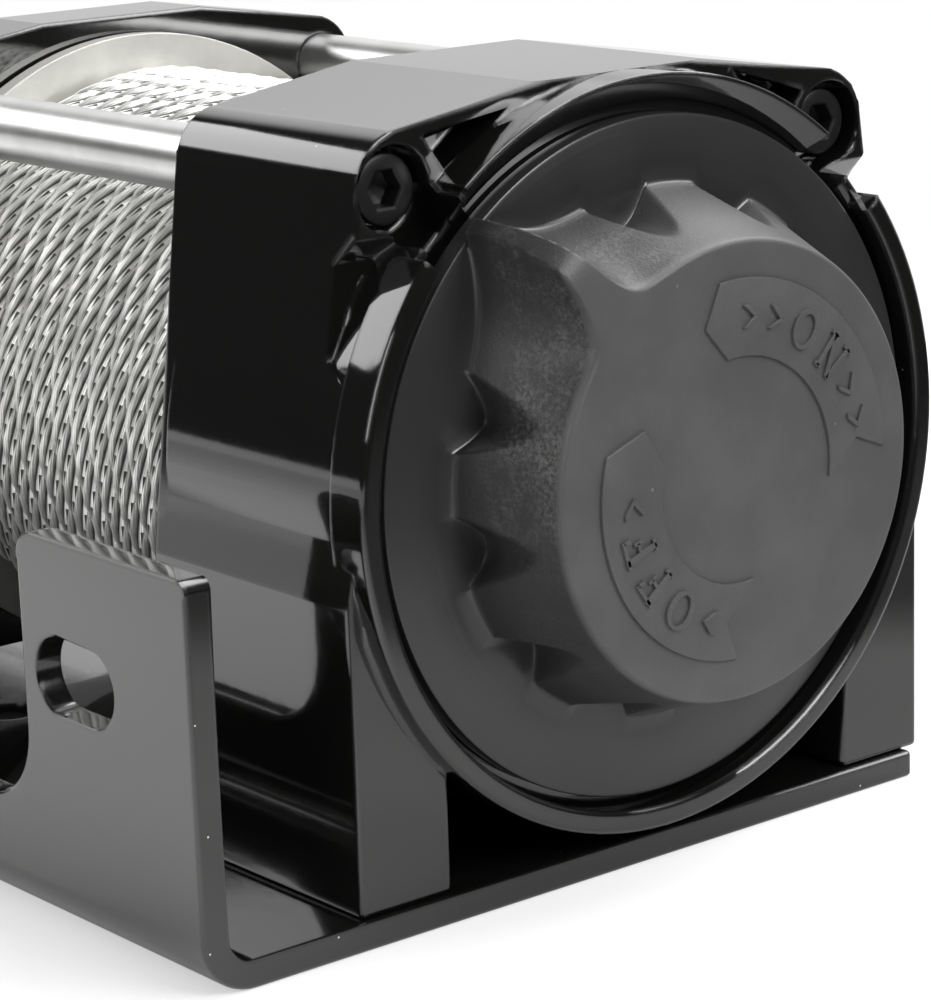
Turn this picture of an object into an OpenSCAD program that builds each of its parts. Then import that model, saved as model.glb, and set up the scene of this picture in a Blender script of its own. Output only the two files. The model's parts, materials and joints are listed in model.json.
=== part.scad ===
// Electric recovery winch on an L-shaped mounting plate.
// X runs along the drum axis towards the clutch knob, Y towards the rear, away from the rope's
// way out, and Z up. The origin is the centre of the four base holes, on the plate's underside.

/* [Mounting plate] */
// Length of the plate along the drum axis
plate_length = 180; // [160:1:220]
// Thickness of the plate's sheet
plate_t = 4.2; // [3:0.1:5]
// Distance from the drum axis to the outer face of the front wall
wall_front = 82.7; // [78:0.1:95]
// Distance from the drum axis to the plate's rear edge
plate_rear = 52.9; // [50:0.1:70]
// Height of the front wall above the ground
wall_h = 58.5; // [54:0.5:70]
// Outer radius of the bend between base and front wall
bend_r = 8.5; // [6:0.5:10]
// Width of each ear that stands beside the rope cut-out
ear_w = 41.3; // [38:0.1:46]
// Height of the rope cut-out's lower edge above the ground
cutout_z = 17.5; // [14:0.5:24]
// Corner radius of the rope cut-out
cutout_r = 12; // [6:1:16]
// Corner radius at the top of the ears
ear_corner_r = 4; // [2:0.5:6]
// Distance between the centres of the two fairlead slots
slot_pitch = 124; // [120:1:132]
// Length of a fairlead slot, end to end
slot_l = 19.4; // [15:0.2:22]
// Height of a fairlead slot
slot_h = 11.2; // [9:0.2:12]
// Height of the fairlead slots' centres above the ground
slot_z = 38.9; // [35:0.1:44]
// Radius of the four base holes
base_hole_r = 4.5; // [3.5:0.1:5.5]
// Spacing of the base holes along the drum axis
base_pitch_x = 60; // [50:1:66]
// Spacing of the base holes from front to rear
base_pitch_y = 76.2; // [60:0.2:84]

/* [Castings] */
// Height of the drum axis above the top of the plate
axis_h = 56.3; // [56:0.1:60]
// Distance between the inner faces of the two castings
drum_bay = 83.6; // [78:0.2:90]
// Half width of a casting at its feet
case_hw = 55.3; // [54:0.1:60]
// Height above the axis of a casting's flat crown
case_top = 55.6; // [54:0.1:60]
// Depth of the gear housing's block
gear_case_d = 42.5; // [42:0.1:48]
// Thickness of the motor side casting's web
support_d = 16; // [14:0.5:22]
// Distance from a casting's side to the axis of a tie bar
tie_inset = 14; // [12:0.1:16]
// Height of the tie bars above the drum axis
tie_z = 43.5; // [42:0.1:46]
// Diameter of a tie bar
tie_d = 10; // [8:0.5:11]
// Inner width between the two legs of a casting
leg_gap = 78; // [70:1:84]
// Half distance between the foot screws, front to rear
foot_y = 45.4; // [44:0.1:46.5]
// Distance between the foot screws along the drum axis
foot_pitch_x = 124; // [118:1:128]

/* [Hood and lip] */
// Outer radius of the lip round the knob
lip_r = 55; // [54:0.1:57]
// Width of the lip's flat face
lip_w = 3.5; // [2.5:0.1:4]
// How far the lip stands in front of the housing's block
lip_out = 8; // [6:0.1:10]
// Outer radius of the hood over the knob
hood_r = 55.6; // [54.5:0.1:57]
// How far the hood's edge lies behind the lip's face
hood_back = 1.6; // [0.5:0.1:3]
// How far the legs' front lies behind the lip's face
leg_back = 3.5; // [2:0.1:5]

/* [Clutch knob] */
// Radius of the knob's flange disc
disc_r = 49.8; // [47:0.1:50]
// Mean radius of the grip's face
face_r = 32.9; // [30:0.1:35]
// Mean radius of the grip where it meets the disc
grip_r = 38.7; // [37:0.1:42]
// How far the grip's foot is off the axis
grip_shift = 1.3; // [0:0.1:2]
// Distance from the lip's face out to the grip's face
knob_out = 15; // [10:0.5:20]
// How far the disc lies behind the lip's face
disc_back = 2; // [1.5:0.1:3]
// Radius of the beak's tip at the disc
beak_r = 51.2; // [46:0.1:51.3]
// Radius of the beak's top at the grip's face
beak_face_r = 41.5; // [36:0.1:44]
// Height of the raised arrow banners
banner_t = 0.5; // [0.3:0.1:1]

/* [Drum and rope] */
// Radius of the drum's barrel
barrel_r = 25.4; // [24:0.1:28]
// Radius of the drum's motor side flange
flange_r = 52.6; // [50:0.1:53]
// Radius of the drum's gear side flange, which turns inside the housing
inner_flange_r = 49; // [48:0.1:49.2]
// Thickness of a drum flange
flange_t = 3; // [2.5:0.1:4]
// Diameter of the wire rope
rope_d = 4.7; // [4:0.1:5]
// Spacing of the rope's turns
rope_pitch = 5.2; // [5.15:0.05:6]
// Outer radius of the wound rope
rope_r = 47.8; // [44:0.1:49]

/* [Gears] */
// Module of all gears
gear_m = 1.6; // [1.5:0.01:1.62]
// Teeth on each sun gear
sun_n = 12; // [12:6:12]
// Teeth on each planet gear
planet_n = 18; // [18:6:18]
// Planets in each stage
planets = 3; // [3:1:3]
// Face width of the output stage's gears
stage_3_w = 8.5; // [7:0.1:8.6]
// Face width of the middle stage's gears
stage_2_w = 6.5; // [5:0.1:6.6]
// Face width of the input stage's gears
stage_1_w = 5; // [4:0.1:5.1]

/* [Motor] */
// Outer radius of the motor can
can_r = 41; // [39:0.5:46]
// Length of the motor can
can_l = 120; // [110:1:140]
// Wall thickness of the motor can
can_t = 3; // [2:0.5:3.5]
// Length of the motor's end cap
cap_l = 16; // [15:0.5:22]
// Radius of a terminal stud
stud_r = 3; // [2.5:0.5:4]
// Height of the terminal studs above the cap's terminal block
stud_h = 16; // [14:0.5:20]

/* [Hidden] */

// Overrun of a cut past the face it goes through
over = 1;
// Gap between two bodies that pass each other
gap = 0.3;
// Radial clearance of a running fit
fit = 0.05;
// Smoothness of true round shapes
$fn = 96;

// Stations along the drum axis, from the middle of the drum bay
bay_x = drum_bay / 2;
block_face_x = bay_x + gear_case_d;
lip_face_x = block_face_x + lip_out;
hood_edge_x = lip_face_x - hood_back;
leg_face_x = lip_face_x - leg_back;
disc_face_x = lip_face_x - disc_back;
knob_face_x = lip_face_x + knob_out;
disc_t = 3.3;
disc_x = disc_face_x - disc_t;
recess_x = disc_x - gap;
wall_t = 4.4;
case_wall_x = recess_x - wall_t;
axis_z = plate_t + axis_h;
tie_y = case_hw - tie_inset;

// Gear case stations, from the drum side towards the knob
end_play = 0.5;
pocket_d = flange_t + end_play * 2;
cover_x = bay_x + pocket_d;
cover_t = 3;
carrier_3_x = cover_x + cover_t + end_play;
carrier_3_t = 3.5;
stage_3_x = carrier_3_x + carrier_3_t + gap;
carrier_2_x = stage_3_x + stage_3_w + gap;
carrier_2_t = 2.8;
stage_2_x = carrier_2_x + carrier_2_t + gap;
carrier_1_x = stage_2_x + stage_2_w + gap;
carrier_1_t = 2.2;
stage_1_x = carrier_1_x + carrier_1_t + gap;
clutch_web_x = stage_1_x + stage_1_w + gap;
main_ring_end_x = stage_2_x + stage_2_w;
clutch_web_t = 2;

// Gear sizes
ring_n = sun_n + 2 * planet_n;
sun_pitch_r = gear_m * sun_n / 2;
planet_pitch_r = gear_m * planet_n / 2;
ring_pitch_r = gear_m * ring_n / 2;
orbit_r = sun_pitch_r + planet_pitch_r;
tooth_out = 0.9 * gear_m;
tooth_in = 1.25 * gear_m;
backlash = 0.3;
pressure_angle = 20;
flank_steps = 3;
carrier_rim = 7;
carrier_bore_r = 5.2;
planet_pin_r = 3;
carrier_r = orbit_r + planet_pin_r + carrier_rim;
cavity_r = 45;

// Drive line
shaft_flats = 8;
shaft_nose_r = 3.95;
shaft_start_x = -39;
nose_l = 4.5;
hub_r = 20;
journal_r = 22;
bush_t = 3;
pocket_clear = 0.8;

// Castings
corner_in = 1.5;
corner_y = tie_y - corner_in;
corner_z = tie_z + gap;
corner_r = 8;
corner_steps = 8;
corner_from_angle = 8;
corner_to_angle = 80;
crown_hw = 16;
draft_z = -12;
ledge_z = 14;
ledge_top_z = 21;
side_pocket_d = 4;
boss_z = 37.5;
boss_slope = 3.5;
case_web_t = 9;
case_barrel_r = 54.2;
pocket_d_front = 7;
rim_t = 1.7;
hood_from_angle = 50;
hood_to_angle = 128;
lip_from_angle = -219.5;
lip_to_angle = 37;
access_w = 9;
access_l = 13;
access_d = 4;
bay_arch_z = -20;
neck_proud = 3;
neck_r = can_r + neck_proud;
neck_end_x = -76;
foot_end_x = -74;
foot_h = 22;
bearing_pocket_r = 11;
bearing_w = 8;
spigot_step = 1;
spigot_r = can_r - can_t - spigot_step;

// Fasteners
m6_r = 3;
m6_head_r = 5;
m6_head_h = 6;
m6_hex = 5;
head_clear = 1.2;
head_back = 10;
thread_depth = 12;
shank_clear = 2;
socket_d = 4;
foot_screw_r = 3;
foot_head_r = 6;
foot_head_h = 3.2;
foot_screw_l = 20;
foot_hex = 4;

// Clutch
stem_r = 9;
stem_past_wall = 0.6;
stem_end_x = case_wall_x - stem_past_wall;
clip_x = case_wall_x + 2 * fit;
clip_t = 1.2;
clip_r = 11.5;
clip_groove_r = 8.2;
clip_recess_r = 12.5;
clip_recess_d = 1.9;
pin_orbit_r = 29;
clutch_pin_r = 2.5;
pin_head_r = 3.8;
pin_head_t = 2;
pin_back = 0.2;
pin_x = clutch_web_x + pin_back;
ledge_t = 1;
pin_head_x = disc_x + ledge_t;
pin_spring_l = 3.4;
pin_lift = 3.5;
cam_clear = 0.4;
cam_steps = 12;
pin_angle = 215;
pin_holes = 12;
knob_turn_angle = 87;
cam_d = 10.2;
beak_angle = 130.8;
beak_round = 3;
grip_steps = 180;
grip_shift_angle = 60;
face_shift = 0.9;
pocket_step_angle = 30;
pocket_from_angle = 130.5;
pocket_half_angle = 8.4;
pocket_deep = 5;
pocket_height_share = 0.68;
foot_fall_angles = [5.5, 7];
face_fall_angles = [6, 4.5];
crest_half_angle = 1;

// Rope
rope_axis_r = rope_r - rope_d / 2;
core_r = rope_axis_r - rope_d / 2 - gap;
flange_in_x = -bay_x + end_play * 2 + flange_t;
rope_from_x = flange_in_x + rope_d / 2 + gap;
rope_to_x = bay_x - rope_d / 2 - end_play;
rope_turns = (rope_to_x - rope_from_x) / rope_pitch;
loop_rings = 24;
rope_sides = 6;

// Motor
gasket_t = 1;
can_x = neck_end_x - gasket_t;
cap_x = can_x - can_l;
motor_end_x = cap_x - cap_l;
motor_shaft_r = 5;
armature_slots = 12;
magnet_t = 6.5;
pole_gap = 1.5;
armature_r = can_r - can_t - magnet_t - pole_gap;
poles = 4;
magnet_angle = 62;
commutator_r = 14;
commutator_l = 16;
rear_bearing_r = 9.5;
rear_bearing_w = 6;
cap_wall = 4;
stud_y = 14;
terminal_block_w = 54;
terminal_block_l = 13;
terminal_block_rise = 2;
terminal_block_z = can_r + terminal_block_rise;
bolt_inset = 7;
bolt_orbit = can_r - bolt_inset;

module on_axis(x) {
    translate([x, 0, axis_z])
        children();
}

// A round bar along the drum axis, from x to x + l
module bar(x, l, r) {
    on_axis(x)
        rotate([0, 90, 0])
            cylinder(h = l, r = r);
}

module tube(x, l, r_out, r_in) {
    difference() {
        bar(x, l, r_out);
        bar(x - over, l + 2 * over, r_in);
    }
}

// A hexagonal bar along the drum axis, given across its flats
module hex_bar(x, l, flats) {
    on_axis(x)
        rotate([0, 90, 0])
            cylinder(h = l, r = flats / sqrt(3), $fn = 6);
}

// An outline drawn with Y to the right and Z up, pushed along the drum axis
module slab(x, l) {
    on_axis(x)
        rotate([90, 0, 90])
            linear_extrude(height = l)
                children();
}

// A wedge of a disc between two angles from +Y towards +Z
module wedge(r, a_from, a_to) {
    steps = ceil((a_to - a_from) / 15);
    arc = [for (i = [0 : steps]) a_from + (a_to - a_from) * i / steps];
    polygon(concat([[0, 0]], [for (a = arc) 1.5 * r * [cos(a), sin(a)]]));
}

module ring_sector(r_out, r_in, a_from, a_to) {
    intersection() {
        difference() {
            circle(r = r_out);
            circle(r = r_in);
        }
        wedge(r_out, a_from, a_to);
    }
}

// A spur gear's outline by involute flanks; grow is added to each side of a tooth
function inv_angle(r, base) = r <= base ? 0 : tan(acos(base / r)) * 180 / PI - acos(base / r);
function half_tooth(r, pitch_r, grow, n) =
    90 / n + grow / pitch_r * 180 / PI
    + inv_angle(pitch_r, pitch_r * cos(pressure_angle)) - inv_angle(r, pitch_r * cos(pressure_angle));
function flank(pitch_r, root_r, tip_r, grow, n) =
    [for (i = [0 : flank_steps])
        let (r = root_r + (tip_r - root_r) * i / flank_steps) [r, half_tooth(r, pitch_r, grow, n)]];
function gear_points(n, pitch_r, root_r, tip_r, grow) =
    let (side = flank(pitch_r, root_r, tip_r, grow, n))
    [for (t = [0 : n - 1], s = [-1, 1], i = [0 : flank_steps])
        let (
            k = s < 0 ? i : flank_steps - i,
            a = t * 360 / n + s * side[k][1]
        )
        side[k][0] * [cos(a), sin(a)]];

module external_gear(n) {
    pitch_r = gear_m * n / 2;
    polygon(gear_points(n, pitch_r, pitch_r - tooth_in, pitch_r + tooth_out, -backlash / 2));
}

module internal_gear_hole() {
    polygon(gear_points(ring_n, ring_pitch_r, ring_pitch_r - tooth_out, ring_pitch_r + tooth_in,
        backlash / 2));
}

// A round bar beside the axis, at y and z from it
module side_bar(x, l, r, y, z) {
    translate([0, y, z])
        bar(x, l, r);
}

// The places of a stage's planets, as turns about the drum axis
module at_planet(k) {
    a = 360 * k / planets;
    translate([0, orbit_r * cos(a), orbit_r * sin(a)])
        children();
}

// Mounting plate, its side view first
module plate_profile() {
    depth = wall_front + plate_rear;
    difference() {
        union() {
            translate([bend_r - wall_front, 0])
                square([depth - bend_r, wall_h]);
            translate([-wall_front, bend_r])
                square([depth, wall_h - bend_r]);
            translate([bend_r - wall_front, bend_r])
                circle(r = bend_r);
        }
        translate([bend_r - wall_front, plate_t])
            square([depth, wall_h]);
        translate([plate_t - wall_front, bend_r])
            square([depth, wall_h]);
        translate([bend_r - wall_front, bend_r])
            circle(r = bend_r - plate_t);
    }
}

cutout_hw = plate_length / 2 - ear_w;

module rope_cutout() {
    translate([-cutout_hw, cutout_z + cutout_r])
        square([2 * cutout_hw, wall_h]);
    translate([cutout_r - cutout_hw, cutout_z])
        square([2 * (cutout_hw - cutout_r), wall_h]);
    for (s = [-1, 1])
        translate([s * (cutout_hw - cutout_r), cutout_z + cutout_r])
            circle(r = cutout_r);
}

// What rounding takes off an upper corner at x; side says on which side of x the sheet ends
module corner_off(x, side, r) {
    translate([x - side * r, wall_h - r])
        difference() {
            translate([side > 0 ? 0 : -r - over, 0])
                square([r + over, r + over]);
            circle(r = r);
        }
}

module fairlead_slot(x) {
    half = (slot_l - slot_h) / 2;
    translate([x - half, slot_z - slot_h / 2])
        square([2 * half, slot_h]);
    for (s = [-1, 1])
        translate([x + s * half, slot_z])
            circle(r = slot_h / 2);
}

module wall_openings() {
    rope_cutout();
    for (s = [-1, 1]) {
        fairlead_slot(s * slot_pitch / 2);
        corner_off(s * cutout_hw, -s, ear_corner_r);
        corner_off(s * plate_length / 2, s, ear_corner_r / 2);
    }
}

module at_feet() {
    for (sx = [-1, 1], sy = [-1, 1])
        translate([sx * foot_pitch_x / 2, sy * foot_y, 0])
            children();
}

module mounting_plate() {
    color("#151617")
        difference() {
            translate([-plate_length / 2, 0, 0])
                rotate([90, 0, 90])
                    linear_extrude(height = plate_length)
                        plate_profile();
            translate([0, plate_t + over - wall_front, 0])
                rotate([90, 0, 0])
                    linear_extrude(height = plate_t + 2 * over)
                        wall_openings();
            for (sx = [-1, 1], sy = [-1, 1])
                translate([sx * base_pitch_x / 2, sy * base_pitch_y / 2, -over])
                    cylinder(h = plate_t + 2 * over, r = base_hole_r);
            at_feet() {
                translate([0, 0, -over])
                    cylinder(h = plate_t + 2 * over, r = foot_screw_r + fit);
                cylinder(h = foot_head_h, r1 = foot_head_r + fit, r2 = foot_screw_r + fit);
            }
        }
}

module foot_screws() {
    color("#8f9193")
        at_feet()
            difference() {
                union() {
                    cylinder(h = foot_head_h, r1 = foot_head_r, r2 = foot_screw_r);
                    cylinder(h = foot_screw_l, r = foot_screw_r);
                }
                translate([0, 0, -over])
                    cylinder(h = foot_head_h, r = foot_hex / sqrt(3), $fn = 6);
            }
}

// The outline that both castings share, as seen along the drum axis
corner_arc = [for (i = [0 : corner_steps])
    let (a = corner_from_angle + (corner_to_angle - corner_from_angle) * i / corner_steps)
    [corner_y + corner_r * cos(a), corner_z + corner_r * sin(a)]];
half_outline = concat([[case_hw, -axis_h], [case_hw, draft_z]], corner_arc, [[crown_hw, case_top]]);
last_point = len(half_outline) - 1;

module casting_outline() {
    polygon(concat(half_outline,
        [for (i = [last_point : -1 : 0]) [-half_outline[i][0], half_outline[i][1]]]));
}

// The gear housing's side view: legs in front, a ledge, a hollow and the corner with the screw
module housing_side_view() {
    polygon([
        [bay_x, plate_t],
        [leg_face_x, plate_t],
        [leg_face_x, axis_z + ledge_z],
        [block_face_x - side_pocket_d, axis_z + ledge_top_z],
        [block_face_x - side_pocket_d, axis_z + boss_z - boss_slope],
        [block_face_x, axis_z + boss_z],
        [block_face_x, axis_z + case_top],
        [bay_x, axis_z + case_top]
    ]);
}

module leg_arch(x, l, top_z) {
    translate([x, -leg_gap / 2, plate_t - over])
        cube([l, leg_gap, axis_h + top_z + over]);
}

module foot_bores() {
    at_feet()
        translate([0, 0, plate_t - over])
            cylinder(h = foot_screw_l + over, r = foot_screw_r + fit);
}

recess_r = lip_r - lip_w;
module housing_front() {
    bar(cover_x - over, leg_face_x - cover_x + over, case_barrel_r);
    slab(block_face_x - pocket_clear, hood_edge_x - block_face_x + pocket_clear)
        ring_sector(hood_r, cavity_r, hood_from_angle, hood_to_angle);
}

module tie_bar_places() {
    for (s = [-1, 1])
        translate([0, s * tie_y, tie_z])
            children();
}

head_seat_x = lip_face_x - head_back - m6_head_h;

module screw_access() {
    tie_bar_places() {
        bar(head_seat_x, lip_face_x - head_seat_x, m6_head_r + head_clear);
        bar(bay_x - over, head_seat_x - bay_x + 2 * over, m6_r + fit);
        bar(bay_x - over, socket_d + over, tie_d / 2 + fit);
    }
    for (s = [-1, 1])
        translate([block_face_x - access_d, s * tie_y, axis_z + tie_z])
            rotate([s > 0 ? 180 + atan(tie_z / tie_y) : -atan(tie_z / tie_y), 0, 0])
                translate([0, 0, -access_w / 2])
                    cube([lip_out + access_d + over, access_l, access_w]);
}

// Hollows between the hood, the screw and the rim of the block's front, on both sides
top_pocket_shares = [[0.88, 1.14], [0.775, 1.02], [0.49, 1.222]];

module top_pockets() {
    for (s = [-1, 1])
        slab(block_face_x - pocket_d_front, pocket_d_front + over)
            polygon([for (p = top_pocket_shares) [s * p[0] * tie_y, p[1] * tie_z]]);
}

module gear_housing() {
    color("#131415") {
        difference() {
            union() {
                difference() {
                    intersection() {
                        slab(bay_x, lip_face_x - bay_x)
                            casting_outline();
                        translate([0, case_hw + over, 0])
                            rotate([90, 0, 0])
                                linear_extrude(height = 2 * (case_hw + over))
                                    housing_side_view();
                    }
                    leg_arch(bay_x + case_web_t, lip_face_x - bay_x, bay_arch_z);
                    top_pockets();
                }
                housing_front();
            }
            bar(bay_x - over, pocket_d + over, inner_flange_r + pocket_clear);
            bar(cover_x - over, case_wall_x - cover_x + over, cavity_r);
            bar(recess_x, lip_out, recess_r);
            on_axis(recess_x + over)
                rotate([0, 90, 0])
                    cylinder(h = hood_edge_x - recess_x - over, r1 = recess_r, r2 = hood_r - rim_t / 3);
            bar(case_wall_x - over, clip_recess_d + over, clip_recess_r);
            bar(case_wall_x - over, wall_t + 2 * over, stem_r + fit);
            rotate_about_axis(pin_angle)
                side_bar(case_wall_x - over, wall_t + 2 * over, clutch_pin_r + fit, pin_orbit_r, 0);
            screw_access();
            foot_bores();
        }
        slab(leg_face_x - access_d, lip_face_x - leg_face_x + access_d)
            ring_sector(lip_r, recess_r, lip_from_angle, lip_to_angle);
    }
}

module rotate_about_axis(a) {
    translate([0, 0, axis_z])
        rotate([a, 0, 0])
            translate([0, 0, -axis_z])
                children();
}

module gear_case_cover() {
    color("#a7a9ab")
        tube(cover_x, cover_t, cavity_r, journal_r + bush_t);
}

module bush(x, l) {
    color("#b08a4a")
        tube(x, l, journal_r + bush_t, journal_r + fit);
}

module drum_bush_gear_side() {
    bush(cover_x, cover_t);
}

module main_ring_gear() {
    color("#77797c")
        slab(cover_x + cover_t, main_ring_end_x - cover_x - cover_t)
            difference() {
                circle(r = cavity_r);
                rotate(180 / ring_n)
                    internal_gear_hole();
            }
}

module clutch_ring_gear() {
    color("#77797c") {
        slab(main_ring_end_x, clutch_web_x - main_ring_end_x)
            difference() {
                circle(r = cavity_r - fit);
                rotate(180 / ring_n)
                    internal_gear_hole();
            }
        slab(clutch_web_x, clutch_web_t)
            difference() {
                circle(r = cavity_r - fit);
                circle(r = clip_recess_r);
                for (k = [0 : pin_holes - 1])
                    rotate(pin_angle + k * 360 / pin_holes)
                        translate([pin_orbit_r, 0])
                            circle(r = clutch_pin_r + fit);
            }
    }
}

module carrier_plate(x, l) {
    slab(x, l)
        difference() {
            circle(r = carrier_r);
            circle(r = carrier_bore_r);
            for (k = [0 : planets - 1])
                rotate(360 * k / planets)
                    translate([orbit_r, 0])
                        circle(r = planet_pin_r);
        }
}

module hollow_sun(x, l) {
    slab(x, l)
        difference() {
            external_gear(sun_n);
            circle(r = carrier_bore_r);
        }
}

module output_carrier() {
    color("#8c8e91") {
        carrier_plate(carrier_3_x, carrier_3_t);
        tube(bay_x - pocket_d, carrier_3_x - bay_x + pocket_d, hub_r, carrier_bore_r);
    }
}

module carrier_2() {
    color("#8c8e91") {
        carrier_plate(carrier_2_x, carrier_2_t);
        hollow_sun(stage_3_x, carrier_2_x - stage_3_x);
    }
}

module carrier_1() {
    color("#8c8e91") {
        carrier_plate(carrier_1_x, carrier_1_t);
        hollow_sun(stage_2_x, carrier_1_x - stage_2_x);
    }
}

module stage_pins(x, l) {
    color("#c2c4c6")
        for (k = [0 : planets - 1])
            at_planet(k)
                bar(x, l, planet_pin_r);
}

module planet(x, l, k) {
    color("#9b9da0")
        at_planet(k)
            slab(x, l)
                difference() {
                    rotate(180 / planet_n)
                        external_gear(planet_n);
                    circle(r = planet_pin_r + fit);
                }
}

module input_sun() {
    color("#9b9da0")
        difference() {
            slab(stage_1_x, stage_1_w)
                external_gear(sun_n);
            hex_bar(stage_1_x - over, stage_1_w + 2 * over, shaft_flats);
        }
}

module drive_shaft() {
    color("#b9bbbd") {
        hex_bar(shaft_start_x, stage_1_x + stage_1_w - shaft_start_x, shaft_flats);
        bar(stage_1_x + stage_1_w, nose_l, shaft_nose_r);
    }
}

// Brake inside the drum: shoes on a hub, drawn in by two ring springs
brake_l = 34;
brake_hub_r = 9.4;
brake_lining_gap = 0.4;
brake_spring_r = 0.9;
shoe_angle = 150;
coupler_r = 9;
coupler_l = 18;

module shaft_coupler() {
    color("#7d7f82")
        difference() {
            bar(shaft_start_x - coupler_l / 2, coupler_l, coupler_r);
            bar(shaft_start_x - coupler_l, coupler_l, motor_shaft_r);
            hex_bar(shaft_start_x, coupler_l, shaft_flats);
        }
}

module brake_hub() {
    color("#7d7f82")
        difference() {
            bar(-brake_l / 2, brake_l, brake_hub_r);
            hex_bar(-brake_l, 2 * brake_l, shaft_flats);
        }
}

module brake_springs() {
    color("#c9cbcd")
        for (s = [-1, 1])
            on_axis(s * brake_l / 4)
                rotate([0, 90, 0])
                    rotate_extrude()
                        translate([hub_r - brake_lining_gap - brake_spring_r, 0])
                            circle(r = brake_spring_r, $fn = 24);
}

module brake_shoes() {
    color("#5d564e")
        difference() {
            for (side = [0, 180])
                slab(-brake_l / 2, brake_l)
                    ring_sector(hub_r - brake_lining_gap, brake_hub_r,
                        side - shoe_angle / 2, side + shoe_angle / 2);
            for (s = [-1, 1])
                tube(s * brake_l / 4 - brake_spring_r, 2 * brake_spring_r, hub_r,
                    hub_r - brake_lining_gap - 2 * brake_spring_r);
        }
}

// Rope drum: barrel, two flanges and two journals
journal_l = 7.5;

module rope_drum() {
    color("#b3b3ae")
        difference() {
            union() {
                bar(flange_in_x - flange_t, bay_x - flange_in_x + 2 * flange_t, barrel_r);
                bar(flange_in_x - flange_t, flange_t, flange_r);
                bar(bay_x + end_play, flange_t, inner_flange_r);
                bar(flange_in_x - flange_t - journal_l, journal_l + over, journal_r);
                bar(bay_x, pocket_d + cover_t, journal_r);
            }
            bar(-2 * bay_x, 4 * bay_x, hub_r);
            clamp_screw_hole();
        }
}

clamp_screw_r = 3;
clamp_screw_l = 8;
clamp_orbit = 34;

module clamp_screw_hole() {
    side_bar(flange_in_x - flange_t - over, clamp_screw_l + over, clamp_screw_r + fit, 0, clamp_orbit);
}

module rope_clamp_screw() {
    color("#6f7174")
        difference() {
            side_bar(flange_in_x - flange_t, clamp_screw_l, clamp_screw_r, 0, clamp_orbit);
            translate([0, 0, clamp_orbit])
                hex_bar(flange_in_x - flange_t - over, clamp_screw_l / 2, clamp_screw_r);
        }
}

module rope_core() {
    color("#9a9b97")
        difference() {
            tube(flange_in_x, bay_x + end_play - flange_in_x, core_r, barrel_r);
            clamp_screw_hole();
        }
}

// The outer layer of rope: one tube on a helix, whose two ends run straight for one diameter
winding_rings = ceil(rope_turns * loop_rings);
function ring_place(i) =
    let (
        k = min(max(i - 1, 0), winding_rings),
        a = k * 360 / loop_rings,
        x = rope_from_x + rope_pitch * k / loop_rings,
        on_helix = [x, rope_axis_r * cos(a), rope_axis_r * sin(a)],
        along = [0, -sin(a), cos(a)]
    )
    i == 0 ? on_helix - rope_d * along : i == winding_rings + 2 ? on_helix + rope_d * along : on_helix;
function ring_turn(i) = min(max(i - 1, 0), winding_rings) * 360 / loop_rings;
function ring_point(i, j) =
    let (
        a = ring_turn(i),
        b = (j + 1 / 2) * 360 / rope_sides,
        out = rope_d / 2 * cos(b),
        side = rope_d / 2 * sin(b)
    )
    ring_place(i) + [side, out * cos(a), out * sin(a)];
rope_ring_count = winding_rings + 3;
rope_points = [for (i = [0 : rope_ring_count - 1], j = [0 : rope_sides - 1]) ring_point(i, j)];
function tube_faces(rings, sides) = concat(
    [[for (j = [0 : sides - 1]) j]],
    [for (i = [0 : rings - 2], j = [0 : sides - 1], half = [0, 1])
        let (
            a = i * sides + j,
            b = i * sides + (j + 1) % sides
        )
        half == 0 ? [a, a + sides, b] : [b, a + sides, b + sides]],
    [[for (j = [sides - 1 : -1 : 0]) (rings - 1) * sides + j]]
);
// Least distance from the points of one turn to those of the next
turn_gaps = [for (j = [0 : rope_sides - 1], k = [0 : rope_sides - 1])
    norm(ring_point(1 + loop_rings, k) - ring_point(1, j))];
echo(least_gap_between_turns = min(turn_gaps), turns = rope_turns);

module rope_winding() {
    color("#b9bab4")
        on_axis(0)
            polyhedron(points = rope_points, faces = tube_faces(rope_ring_count, rope_sides));
}

// Motor side casting: web, neck and two feet
bush_pocket_d = 7;
bearing_seat_x = -58;
spigot_x = bearing_seat_x - bearing_w;
shaft_hole_r = 6.5;
support_arch_z = -49;
bolt_r = 2.5;
bolt_orbit_in_casting = 8;

module motor_support() {
    color("#131415")
        difference() {
            union() {
                slab(-bay_x - support_d, support_d)
                    casting_outline();
                bar(neck_end_x, -bay_x - neck_end_x, neck_r);
                for (s = [-1, 1])
                    translate([foot_end_x, s > 0 ? leg_gap / 2 : -case_hw, plate_t])
                        cube([-bay_x - foot_end_x, case_hw - leg_gap / 2, foot_h]);
            }
            leg_arch(foot_end_x - over, -bay_x - foot_end_x + 2 * over, support_arch_z);
            bar(-bay_x - bush_pocket_d, bush_pocket_d + over, journal_r + bush_t);
            bar(spigot_x, -bay_x - spigot_x, shaft_hole_r);
            bar(spigot_x - over, bearing_w + over, bearing_pocket_r);
            bar(neck_end_x - over, spigot_x - neck_end_x + over, spigot_r);
            tie_bar_places() {
                bar(-bay_x - socket_d, socket_d + over, tie_d / 2 + fit);
                bar(-bay_x - support_d - over, support_d + over, m6_r + fit);
                bar(-bay_x - support_d - over, m6_head_h + over, m6_head_r + gap);
            }
            for (s = [-1, 1])
                side_bar(spigot_x, bolt_orbit_in_casting, bolt_r, s * bolt_orbit, 0);
            foot_bores();
        }
}

module drum_bush_motor_side() {
    bush(-bay_x - bush_pocket_d, bush_pocket_d);
}

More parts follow.
